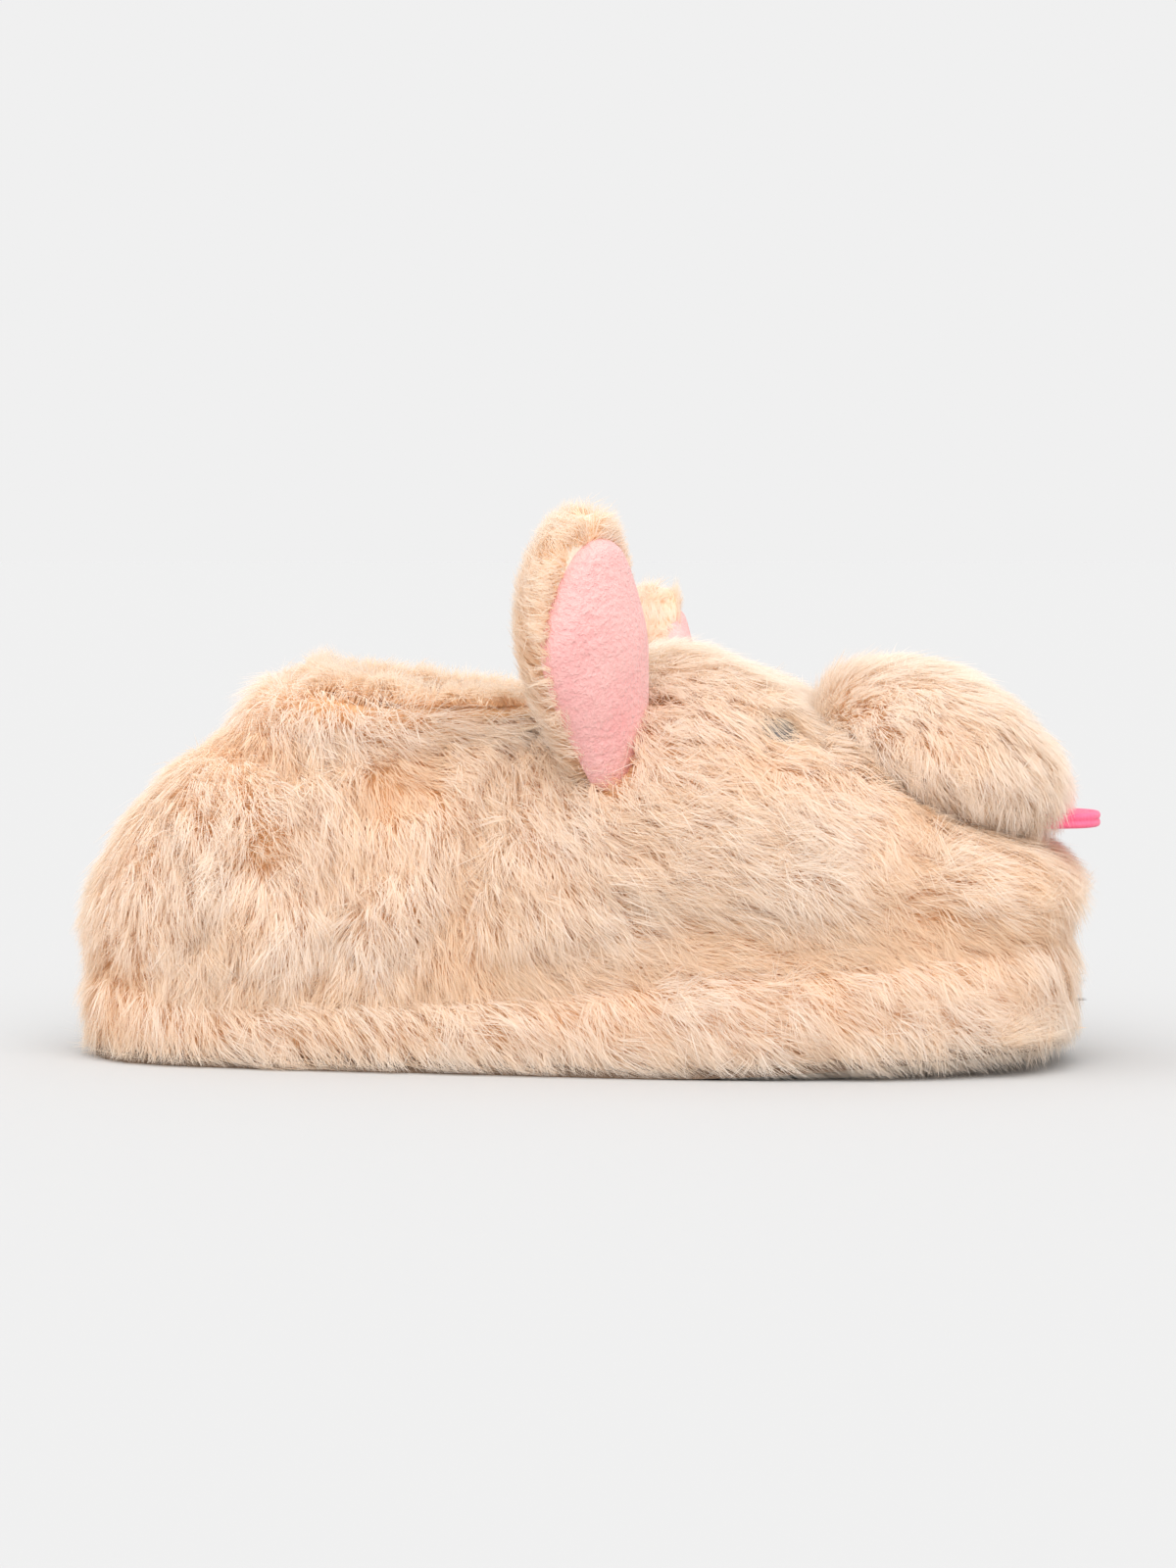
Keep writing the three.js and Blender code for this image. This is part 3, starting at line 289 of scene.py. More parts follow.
class MuzzleSizes(bpy.types.PropertyGroup):
    """Sizes of the muzzle and of what is sewn on it."""

    length: size("Length", "Back to front of the muzzle", 67)
    width: size("Width", "Across the jowls", 74)
    depth: size("Depth", "Across its shorter way, from the side", 42)
    front: size("Front", "How far it stays behind the toe", 4.5)
    top: size("Top", "Floor to its top", 98.5)
    tilt: bpy.props.FloatProperty(
        name="Tilt", description="Nose down", default=math.radians(22), subtype="ANGLE"
    )
    cleft: bpy.props.FloatProperty(
        name="Cleft", description="Depth between the jowls", default=0.18, subtype="FACTOR"
    )
    nose_width: size("Nose width", "Across the nose", 17)
    nose_height: size("Nose height", "Up the nose", 12)
    nose_proud: size("Nose proud", "How far it stands out of the cleft", 3)
    tongue_width: size("Tongue width", "Across the felt", 27)
    tongue_thickness: size("Tongue thickness", "Both layers of felt", 3.6)
    tongue_length: size("Tongue length", "Seam to tip", 26)
    tongue_proud: size("Tongue proud", "Beyond the toe", 2.6)
    tongue_lift: size("Tongue lift", "Over the toe", 1.4)
    eye: size("Eye", "Across an eye", 12)
    eye_dome: size("Eye dome", "Height of an eye", 3)
    eye_sink: size("Eye sink", "How far the pile closes over an eye", 4.8)


class EarSizes(bpy.types.PropertyGroup):
    """Sizes of the ears."""

    length: size("Length", "Root to tip", 67)
    width: size("Width", "Across an ear", 38)
    back_depth: size("Back depth", "Stuffing and pile behind the mid-plane", 15)
    front_depth: size("Front depth", "Stuffing before the mid-plane", 6)
    lining: size("Lining", "Thickness of the velour", 2.2)
    root_height: size("Root height", "Floor to the root", 66)
    inset: size("Inset", "Root inside the widest part of the foot", 12)
    at: bpy.props.FloatProperty(
        name="Place", description="Along the foot", default=0.53, subtype="FACTOR"
    )
    lining_share: bpy.props.FloatProperty(
        name="Lining share", description="Of the ear's outline", default=0.9, subtype="FACTOR"
    )


class PileSizes(bpy.types.PropertyGroup):
    """The pile's sizes."""

    length: size("Length", "How far a strand lies along the backing", 9)
    height: size("Height", "How far its tip stands over the backing", 6.6)
    width: size("Width", "Across a strand at its root", 0.26)
    tuft: size("Tuft", "Across a tuft of strands", 1.4)
    lock: size("Lock", "Across a lock of tufts", 6)
    density: bpy.props.FloatProperty(
        name="Density", description="Share of the full number of strands", default=1, min=0.05
    )


class SlipperColours(bpy.types.PropertyGroup):
    """The slipper's colours, before light falls on them, except for the painted shade in the roots,
    the backing and the velour's hollows.
    """

    # cream and peach are random strand colours, and also where painted light on high strands and
    # painted shade on low or creased strands lead
    cream: paint("Cream", "Pale strands", 254, 250, 245)
    peach: paint("Peach", "Warmer strands", 254, 236, 214)
    # painted shade: the warmer, darker colour at the foot of the strands stands in for the shade
    # deep in the pile
    roots: paint("Roots", "The foot of the strands", 250, 214, 174)
    glow: paint("Glow", "Light that comes through the strands", 254, 240, 223)
    # partly painted shade: the backing's deeper tan stands for the shade where it shows between
    # strands
    backing: paint("Backing", "The cloth under the pile", 224, 180, 134)
    fleece: paint("Fleece", "Lining and insole", 240, 218, 196)
    ear_pink: paint("Ear pink", "Velour of the ears", 252, 200, 194)
    # painted shade: the deeper pink that the velour shows in its dips and hollows
    ear_hollow_shade: paint("Ear deep", "Velour in its hollows", 243, 168, 166)
    felt: paint("Felt", "The tongue", 255, 128, 158)
    nose: paint("Nose", "Velour of the nose", 44, 36, 34)
    eye: paint("Eye", "The eyes", 52, 48, 52)
    rubber: paint("Rubber", "The outsole", 112, 92, 76)
    backdrop: paint("Backdrop", "The studio all round", 240, 240, 240)
    floor: paint("Floor", "The floor before light falls on it", 191, 191, 191)


# Numbers and curves


def unit(vectors):
    """Vectors at length one."""
    return vectors / np.maximum(np.linalg.norm(vectors, axis=-1, keepdims=True), 1e-12)


def dot(a, b):
    """Products of vectors, as a column."""
    return (a * b).sum(axis=-1, keepdims=True)


def mix(a, b, share):
    """From a to b by a share."""
    return a + (b - a) * share


def smooth(value, low, high):
    """A smooth step: 3t^2 - 2t^3 with t from 0 at low to 1 at high."""
    t = np.clip((value - low) / (high - low), 0, 1)
    return t * t * (3 - 2 * t)


def read(table, column, share):
    """A column of a table at a share: a cubic Hermite curve through its rows, with the slope of
    the line between a row's neighbours at each row."""
    at = np.array([row["at"] for row in table])
    value = np.array([row[column] for row in table], float)
    before = np.r_[0, np.arange(len(at) - 1)]
    after = np.r_[np.arange(1, len(at)), len(at) - 1]
    slope = (value[after] - value[before]) / (at[after] - at[before])
    share = np.clip(share, at[0], at[-1])
    i = np.clip(np.searchsorted(at, share), 1, len(at) - 1)
    span = at[i] - at[i - 1]
    s = (share - at[i - 1]) / span
    ends = value[i - 1] * (2 * s**3 - 3 * s**2 + 1) + value[i] * (3 * s**2 - 2 * s**3)
    bends = slope[i - 1] * (s**3 - 2 * s**2 + s) + slope[i] * (s**3 - s**2)
    return ends + bends * span


def hashed(cells, seed):
    """A repeatable number from 0 to 1 for each cell: the fraction of a large sine."""
    wave = np.sin(cells @ np.array([12.9898, 78.233, 37.719]) + seed * 17.13)
    return np.modf(np.abs(wave) * 43758.5453)[0]


def soft_noise(points, size, seed):
    """Value noise from -1 to 1: hashed numbers at the corners of cubes, blended smoothly."""
    low = np.floor(points / size)
    t = points / size - low
    t = t * t * (3 - 2 * t)
    total = 0
    for corner in np.ndindex(2, 2, 2):
        weight = np.prod(np.where(corner, t, 1 - t), axis=-1)
        total = total + weight * hashed(low + corner, seed)
    return 2 * total - 1


def clumps(points, size, seed):
    """For each point the nearest centre of a clump, and the clump's number from 0 to 1. There is
    one centre in each cube of that size, at a hashed place in it."""
    low = np.floor(points / size)
    nearest = np.full(len(points), np.inf)
    centre, number = np.zeros_like(points), np.zeros(len(points))
    for step in np.ndindex(3, 3, 3):
        cell = low + np.array(step) - 1
        place = (cell + np.stack([hashed(cell, seed + k) for k in range(3)], axis=-1)) * size
        far = ((place - points) ** 2).sum(axis=-1)
        closer = far < nearest
        nearest = np.where(closer, far, nearest)
        centre = np.where(closer[:, None], place, centre)
        number = np.where(closer, hashed(cell, seed + 3), number)
    return centre, number


def frames(form, s, t, middle):
    """Places on a form and the way out of it: the cross product of small steps along its two
    parameters, turned away from the middle."""
    step = 1e-3
    point = form(s, t)
    along = form(s + step, t) - form(s - step, t)
    up = form(s, t + step) - form(s, t - step)
    out = unit(np.cross(along, up))
    away = np.sign(dot(out, point - middle).sum())
    return point, out * away


def scatter(form, s_range, t_range, count, rng, weight):
    """Random places spread evenly over a form: cells of a grid are drawn by their area times the
    weight, and each place lies at random in its cell."""
    s, t = np.linspace(*s_range, 721), np.linspace(*t_range, 61)
    grid = form(*np.meshgrid(s, t, indexing="ij"))
    area = np.linalg.norm(
        np.cross(grid[1:, 1:] - grid[:-1, :-1], grid[1:, :-1] - grid[:-1, 1:]), axis=-1
    )
    area = area * weight(*np.meshgrid(s[:-1], t[:-1], indexing="ij"), grid[:-1, :-1])
    cell = rng.choice(area.size, count, p=area.ravel() / area.sum())
    i, j = np.unravel_index(cell, area.shape)
    return s[i] + rng.random(count) * (s[1] - s[0]), t[j] + rng.random(count) * (t[1] - t[0])


# The slipper's forms


class Foot:
    """The form of upper and sole over the laid pile. around runs from 0 at the heel along the
    outer side to pi at the toe, and back along the inner side to 2 pi. up runs from 0 at the seam
    to 1 at the collar's crest or the ridge."""

    def __init__(self, sizes):
        self.sizes = sizes
        self.throat = (sizes.collar_back + sizes.collar_length) / sizes.length
        self.middle = np.array([0.0, 0.0, sizes.heel_height / 2])

    def at(self, around):
        """Share of the length: (1 - cos around) / 2."""
        return (1 - np.cos(around)) / 2

    def side(self, around):
        """OUTER or INNER, by the sign of sin around."""
        return np.where(np.sin(around) >= 0, OUTER, INNER)

    def along(self, at):
        """X at a share of the length."""
        return (at - 0.5) * self.sizes.length

    def drift(self, at):
        """Y of the middle line, from the table."""
        return read(SECTIONS, "drift", at) * self.sizes.ball_width

    def half_width(self, at):
        """The table's width times round ends, (1 - |2 at - 1|^2p)^(1/p)."""
        power = np.where(at < 0.5, HEEL_ROUND, TOE_ROUND)
        ends = np.clip(1 - np.abs(2 * at - 1) ** (2 * power), 0, 1) ** (1 / power)
        return self.sizes.ball_width / 2 * read(SECTIONS, "half", at) * ends

    def spring(self, at):
        """The sole's height over the floor: a smooth step up to the toe spring."""
        return self.sizes.toe_spring * smooth(at, SPRING_FROM, 1)

    def seam(self, at):
        """The seam's height: the spring plus the table's share of the band's height."""
        return self.spring(at) + self.sizes.band_height * read(SECTIONS, "seam", at)

    def top(self, at, side):
        """Where a rib ends: on the collar's crest, an oval that narrows as sin^0.9, or ahead of the
        throat on the ridge."""
        share = np.minimum(at / self.throat, 1)
        turn = np.pi * share
        sizes = self.sizes
        crest = [
            self.along(0) + sizes.collar_back + sizes.collar_length * (1 - np.cos(turn)) / 2,
            self.drift(at) * share
            + side * np.clip(np.sin(turn), 0, 1) ** 0.9 * sizes.collar_width / 2,
            mix(sizes.rim_height, sizes.heel_height, read(CREST, "height", share)),
        ]
        ahead = np.clip((at - self.throat) / (1 - self.throat), 0, 1)
        ridge = [
            mix(self.along(self.throat), self.along(1 - RIDGE_END), ahead),
            self.drift(at),
            mix(sizes.toe_height, sizes.head_height, read(RIDGE, "height", ahead)),
        ]
        in_collar = (at < self.throat)[..., None]
        return np.where(in_collar, np.stack(crest, axis=-1), np.stack(ridge, axis=-1))

    def rib(self, around, up):
        """A point on the smooth form: a quarter superellipse, x and y by cos^(2/fullness) from the
        top to the seam and z by sin^(2/fullness) from the seam to the top."""
        at, side = self.at(around), self.side(around)
        top = self.top(at, side)
        power = 2 / read(SECTIONS, "fullness", at)
        angle = np.pi / 2 * np.clip(up, 0, 1)
        across, rise = np.cos(angle) ** power, np.sin(angle) ** power
        return np.stack(
            [
                mix(top[..., 0], self.along(at), across),
                mix(top[..., 1], self.drift(at) + side * self.half_width(at), across),
                mix(self.seam(at), top[..., 2], rise),
            ],
            axis=-1,
        )

    def relief(self, around, up, point):
        """Outward depth of seam, folds and creases, each a bell curve exp(-a^2 - b^2)."""
        at = self.at(around)
        depth = -self.sizes.seam_depth * np.exp(-((up / 0.09) ** 2))
        for fold in FOLDS:
            ahead = (at - fold["at"] - fold["slant"] * (up - fold["up"])) / fold["long"]
            above = (up - fold["up"]) / fold["tall"]
            depth = depth + fold["out"] * self.sizes.wall * np.exp(-(ahead**2) - above**2)
        for crease in CREASES:
            far, wide = seen_from_side(crease, point)
            bell = np.exp(-((far / crease["long"]) ** 2) - (wide / crease["wide"]) ** 2)
            near = self.side(around) == crease["side"]
            depth = depth + crease["out"] * MM * bell * near
        return depth

    def face(self, around, up):
        """The upper's face: the smooth form raised by its relief."""
        point, out = frames(self.rib, around, up, self.middle)
        return point + out * self.relief(around, up, point)[..., None]

    def backing(self, around, up, sink):
        """The cloth under the pile, sink below the face but never through the wall, and how deep
        it lies under the face, as a share of sink."""
        point, out = frames(self.rib, around, up, self.middle)
        relief = self.relief(around, up, point)
        depth = np.minimum(sink - relief, self.sizes.wall - 0.8 * MM)
        return point - out * depth[..., None], (depth + relief) / sink

    def inside(self, around, up, sink):
        """The wall's inner face, without relief."""
        point, out = frames(self.rib, around, up, self.middle)
        return point - out * np.asarray(sink)[..., None]

    def ring(self, around, inset, height):
        """A ring round the outline, drawn in by inset along the outline's normal."""
        step = 1e-3

        def outline(turn):
            at = self.at(turn)
            wide = self.drift(at) + self.side(turn) * self.half_width(at)
            return np.stack([self.along(at), wide, np.zeros_like(at)], axis=-1)

        ahead = unit(outline(around + step) - outline(around - step))
        inward = np.cross(Z_AXIS, ahead)
        return outline(around) + inward * inset[..., None] + Z_AXIS * height[..., None]

    def band(self, around, lift, sink):
        """The side of the sole band. lift runs from 0 at the outsole to 1 at the seam, and the
        table draws it in from the outline."""
        at, sizes = self.at(around), self.sizes
        low = self.spring(at) + sizes.outsole + sizes.clearance
        height = mix(low, self.seam(at) - sizes.clearance, np.clip(lift, 0, 1))
        return self.ring(around, read(BAND, "inset", lift) * MM + sink, height)

    def spine(self, around, height):
        """The middle line of the foot."""
        at = self.at(around)
        return np.stack([self.along(at), self.drift(at), height + 0 * at], axis=-1)

    def collar(self, around, turn, sink):
        """The rolled edge: half a turn from the crest over the opening's edge to the lining. It
        bulges inwards by roll width times sin(pi turn)."""
        sizes = self.sizes
        at = np.minimum(self.at(around), self.throat)
        crest = self.top(at, self.side(around))
        centre = np.array([self.along(0) + sizes.collar_back + sizes.collar_length / 2, 0, 0])
        inward = unit((centre - crest) * [1, 1, 0])
        angle = np.pi * turn
        bulge = (sizes.roll_width - sink) * np.sin(angle)
        rise = (sizes.wall / 2 - sink) * np.cos(angle) - sizes.wall / 2
        return crest + inward * bulge[..., None] + Z_AXIS * rise[..., None]


def seen_from_side(row, point):
    """Places along and across a crease or whorl, in millimetres, seen from the side."""
    turn = math.radians(row.get("turn", 0))
    ahead, above = point[..., 0] / MM - row["x"], point[..., 2] / MM - row["z"]
    along = ahead * math.cos(turn) + above * math.sin(turn)
    across = above * math.cos(turn) - ahead * math.sin(turn)
    return along, across


def nodded(tilt):
    """The turn about Y that tips a form nose down."""
    c, s = math.cos(tilt), math.sin(tilt)
    return np.array([[c, 0, s], [0, 1, 0], [-s, 0, c]])


class Muzzle:
    """The stuffed muzzle: an ellipsoid tilted nose down, with a cleft between its two jowls. tip
    runs from 0 at the back pole to pi at the front, around is the angle about the long axis."""

    def __init__(self, sizes, foot):
        self.sizes = sizes
        self.half = np.array([sizes.length, sizes.width, sizes.depth]) / 2
        self.turn = nodded(sizes.tilt)
        c, s = math.cos(sizes.tilt), math.sin(sizes.tilt)
        reach = math.hypot(self.half[0] * c, self.half[2] * s)
        rise = math.hypot(self.half[0] * s, self.half[2] * c)
        toe = foot.along(1) - sizes.front
        self.middle = np.array([toe - reach, foot.drift(np.array(0.85)), sizes.top - rise])

    def face(self, tip, around, sink=0.0):
        """(-cos tip, sin^0.9 tip cos around, sin^0.9 tip sin around) times the half sizes, drawn
        towards the middle at the cleft by a bell curve across it."""
        half = self.half - sink
        wide = np.clip(np.sin(np.clip(tip, 0, np.pi)), 0, 1) ** 0.9
        p = np.stack([-np.cos(tip), wide * np.cos(around), wide * np.sin(around)], axis=-1) * half
        front = smooth(p[..., 0], -0.1 * half[0], 0.6 * half[0])
        cleft = np.exp(-((p[..., 1] / (0.2 * half[1])) ** 2))
        p = p * (1 - self.sizes.cleft * front * cleft)[..., None]
        return p @ self.turn.T + self.middle

    def local(self, point):
        """A point along the muzzle's own axes, in shares of its half sizes."""
        return (point - self.middle) @ self.turn / self.half

    def outside(self, point):
        """About how far a point is outside the muzzle."""
        return (np.linalg.norm(self.local(point), axis=-1) - 1) * self.half[2]


class Ear:
    """A stuffed ear about its root, with axes up its length, out of its lining and towards the
    head. at runs from 0 at the root to 1 at the tip."""

    def __init__(self, row, sizes, foot):
        turn, lean, back = (math.radians(row[key]) for key in ("turn", "lean", "back"))
        self.sizes, self.side = sizes, row["side"]
        self.up = unit(np.array([-math.tan(back), self.side * math.tan(lean), 1.0]))
        facing = np.array([math.cos(turn), self.side * math.sin(turn), 0.0])
        self.inward = unit(np.cross(self.up, facing) * -self.side)
        self.front = unit(np.cross(self.inward, self.up) * -self.side)
        root_x = foot.along(sizes.at) + row["ahead"] * MM
        spread = foot.sizes.ball_width / 2 - sizes.inset
        root_y = foot.drift(np.array(sizes.at)) + self.side * spread
        self.root = np.array([root_x, root_y, sizes.root_height - row["low"] * MM])
        self.middle = self.root + self.up * sizes.length / 2

    def place(self, at, wide, deep):
        """A point up the ear, wide half widths towards the head and deep out of the lining."""
        shift = (wide + read(EAR_OUTLINE, "inward", at)) * self.sizes.width / 2
        return (
            self.root
            + self.up * (at * self.sizes.length)[..., None]
            + self.inward * shift[..., None]
            + self.front * deep[..., None]
        )

    def leaf(self, at, angle, share=1.0, front=None, behind=None, sink=0.0, arch=0.0):
        """A leaf half(at) cos angle wide and puff(at) sin angle deep, with ends as round as
        sqrt(1 - a^2). front and behind are its depths, share its size against the ear's outline,
        sink how much smaller it is all round, and arch how much narrower its tip is."""
        front = self.sizes.front_depth if front is None else front
        behind = self.sizes.back_depth if behind is None else behind
        at = np.clip(at, 0, 1)
        placed = at * (1 - (1 - share) * END_SHARE)
        end = np.sqrt(np.clip(1 - np.clip((at - 0.93) / 0.07, 0, 1) ** 2, 0, 1))
        end = end * np.sqrt(np.clip(1 - np.clip((0.05 - at) / 0.05, 0, 1) ** 2, 0, 1))
        end = end * (1 - arch * smooth(at, ARCH_FROM, 1))
        half = (read(EAR_OUTLINE, "half", at) * share - 2 * sink / self.sizes.width) * end
        puff = read(EAR_OUTLINE, "puff", placed) * end
        depth = np.where(np.sin(angle) > 0, front, behind) - sink
        return self.place(placed, half * np.cos(angle), depth * puff * np.sin(angle))

    def beside_lining(self, at, angle):
        """True on the rim and the tip, which the lining leaves bare, and just under its edge."""
        top = 1 - (1 - self.sizes.lining_share) * END_SHARE
        arch = 1 - LINING_ARCH * smooth(at / top, ARCH_FROM, 1)
        return (np.abs(np.cos(angle)) > 0.82 * arch) | (at > 0.96 * top)

    def within(self, point):
        """0 in the middle of the ear and 1 on its face, about."""
        away = point - self.root
        at = away @ self.up / self.sizes.length
        half = np.maximum(read(EAR_OUTLINE, "half", at), 0.1)
        wide = 2 * away @ self.inward / self.sizes.width - read(EAR_OUTLINE, "inward", at)
        deep = away @ self.front
        deep = deep / np.where(deep > 0, self.sizes.front_depth, self.sizes.back_depth)
        return np.sqrt((wide / half) ** 2 + deep**2) + 9 * np.clip(-at, 0, 1)


# Meshes


def piece(name, points, faces, material, uv=None):
    """A piece at the origin from its points and faces, which all have as many corners, given as
    one array for each kind. It rides on the slipper's body."""
    mesh = bpy.data.meshes.new(name)
    corners = np.concatenate([group.ravel() for group in faces])
    sizes = np.concatenate([np.full(len(group), group.shape[1]) for group in faces])
    mesh.vertices.add(len(points))
    mesh.vertices.foreach_set("co", points.astype(np.float32).ravel())
    mesh.loops.add(len(corners))
    mesh.loops.foreach_set("vertex_index", corners.astype(np.int32))
    mesh.polygons.add(len(sizes))
    mesh.polygons.foreach_set("loop_start", (np.cumsum(sizes) - sizes).astype(np.int32))
    mesh.update(calc_edges=True)
    if uv is not None:
        layer = mesh.uv_layers.new(name="strand")
        layer.data.foreach_set("uv", uv[corners].astype(np.float32).ravel())
    mesh.shade_smooth()
    mesh.materials.append(material)
    made = bpy.data.objects.new(name, mesh)
    bpy.context.scene.collection.objects.link(made)
    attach(made, BODY)
    return made


def skin(name, rows, material, loop=False, keep=None):
    """A closed piece skinned over rows of points, each row a ring. loop joins the last row to the
    first, and keep(row, column) says which faces stay. Points that meet are merged, and the faces
    are turned outwards."""
    rows = np.asarray(rows)
    count, columns = rows.shape[:2]
    low = np.arange(count if loop else count - 1)
    i, j = (grid.ravel() for grid in np.meshgrid(low, np.arange(columns), indexing="ij"))
    if keep is not None:
        kept = keep(i, j)
        i, j = i[kept], j[kept]
    k, next_row = (j + 1) % columns, (i + 1) % count
    faces = np.stack(
        [i * columns + j, i * columns + k, next_row * columns + k, next_row * columns + j], axis=-1
    )
    used, faces = np.unique(faces, return_inverse=True)
    made = piece(name, rows.reshape(-1, 3)[used], [faces.reshape(-1, 4)], material)
    shape = bmesh.new()
    shape.from_mesh(made.data)
    bmesh.ops.remove_doubles(shape, verts=shape.verts, dist=0.01 * MM)
    bmesh.ops.recalc_face_normals(shape, faces=shape.faces)
    shape.to_mesh(made.data)
    shape.free()
    made.data.shade_smooth()
    return made


def unit_way(numbers):
    """A repeatable way in space for each number from 0 to 1: cosines of three multiples of it."""
    return np.stack([np.cos(2 * np.pi * numbers * turn) for turn in (1.0, 3.7, 7.3)], axis=-1)


def strayed(point, out, flow, tuft_number, lock_number, rng):
    """The comb's way along the backing, turned by broad swirls, and then by ways of their own
    for each lock, each tuft and each strand."""
    flow = flow - out * dot(flow, out)
    flow = flow / np.maximum(np.linalg.norm(flow, axis=-1, keepdims=True), 1.0)
    swirl = SWIRL_TURN * soft_noise(point, SWIRL_SIZE, 3)[:, None]
    flow = flow * np.cos(swirl) + np.cross(out, flow) * np.sin(swirl)
    for share, way in (
        (LOCK_STRAY, unit_way(lock_number)),
        (TUFT_STRAY, unit_way(tuft_number)),
        (STRAND_STRAY, rng.normal(size=(len(point), 3))),
    ):
        flow = flow + share * (way - out * dot(way, out))
    return unit(flow)


def ribbons(path, across, half):
    """Points and faces of tapering ribbons about middle lines: two points beside each place on a
    line, and one at its tip."""
    count = len(path)
    left, right = path - across * half, path + across * half
    points = np.stack([left[:, :-1], right[:, :-1]], axis=2).reshape(count, -1, 3)
    points = np.concatenate([points, path[:, -1:]], axis=1)
    per = points.shape[1]
    start = (np.arange(count) * per)[:, None, None]
    low = 2 * np.arange(STEPS - 1)[None, :, None]
    quads = (start + low + np.array([0, 1, 3, 2])).reshape(-1, 4)
    tips = (start[:, 0] + np.array([per - 3, per - 2, per - 1])).reshape(-1, 3)
    return points.reshape(-1, 3), [quads, tips]


def grow(name, point, out, flow, region, seed, material, lay=1.0, rise=1.0, painted_shade=0.0):
    """Pile as tapering ribbons. A strand's middle line is root + out height (1 - (1 - v)^2)
    + flow length (0.35 v + 0.65 v^2) - up droop v^2 + pull v^1.5, with v from 0 at the root to 1
    at the tip, and a slight wave across. The pull is towards the middles of its tuft and its
    lock, which also share a turn of the comb and a height. A few strands stray upwards and free
    of their tuft. lay and rise are shares of length and height. The strand's own map holds v and
    its colour share, partly random and partly painted shade and light: lower strands are painted
    darker, as if shaded by taller ones, higher ones paler, and the last argument adds painted
    shade."""
    pile, row = bpy.context.scene.slipper_pile, PILES[region]
    rng = np.random.default_rng(seed)
    count = len(point)
    tuft, tuft_number = clumps(point, pile.tuft, 5)
    lock, lock_number = clumps(point, pile.lock, 23)
    lock_second = np.modf(lock_number * 7.31)[0]
    tuft_second = np.modf(tuft_number * 5.17)[0]
    flow = strayed(point, out, flow, tuft_number, lock_number, rng)
    stray = rng.random(count)
    length = row["length"] * pile.length * (0.75 + 0.25 * lock_second + 0.3 * rng.random(count))
    high = 0.7 + 0.24 * lock_second + 0.24 * tuft_second
    high = high * (1 + 0.3 * stray**12) * (1 - 0.12 * rng.random(count))
    high = high * (1 + BILLOW * soft_noise(point, BILLOW_SIZE, 8))
    length, height = length * lay, row["height"] * pile.height * high * rise
    v = np.linspace(0, 1, STEPS + 1)[None, :, None]
    pull = TUFT_PULL * (tuft - point) + LOCK_PULL * (lock - point)
    pull = (pull - out * dot(pull, out)) * (1 - stray**6)[:, None]
    aside = np.cross(out, flow)[:, None]
    wave = np.sin(np.pi * (WAVES * v + 2 * rng.random(count)[:, None, None]))
    path = (
        point[:, None]
        + out[:, None] * height[:, None, None] * (1 - (1 - v) ** 2)
        + flow[:, None] * length[:, None, None] * (0.35 * v + 0.65 * v**2)
        - Z_AXIS * row["droop"] * MM * v**2
        + pull[:, None] * v**1.5
        + aside * wave * WAVE * v
    )
    path[..., 2] = np.maximum(path[..., 2], LOWEST)
    turn = rng.uniform(-STRAND_TURN, STRAND_TURN, count)[:, None, None]
    facing = out[:, None] * np.cos(turn) + aside * np.sin(turn)
    across = unit(np.cross(unit(np.gradient(path, axis=1)), facing))
    half = row["width"] * pile.width / 2 * (0.75 + 0.5 * rng.random(count))[:, None, None]
    points, faces = ribbons(path, across, half * (1 - 0.75 * v**2))
    # painted shade and light: low strands darker as if shaded by the taller, high ones paler, plus
    # a random spread and the painted shade asked for
    tone_and_shade = 0.5 + 1.3 * (high - MIDDLE_HEIGHT) + 0.3 * (rng.random(count) - 0.5) - 0.45 * painted_shade
    down = np.r_[np.repeat(v.ravel()[:-1], 2), 1.0]
    tones_and_shades = np.repeat(np.clip(tone_and_shade, 0.01, 0.99), len(down))
    uv = np.stack([tones_and_shades, np.tile(down, count)], axis=-1)
    return piece(name, points, faces, material, uv)


# Materials


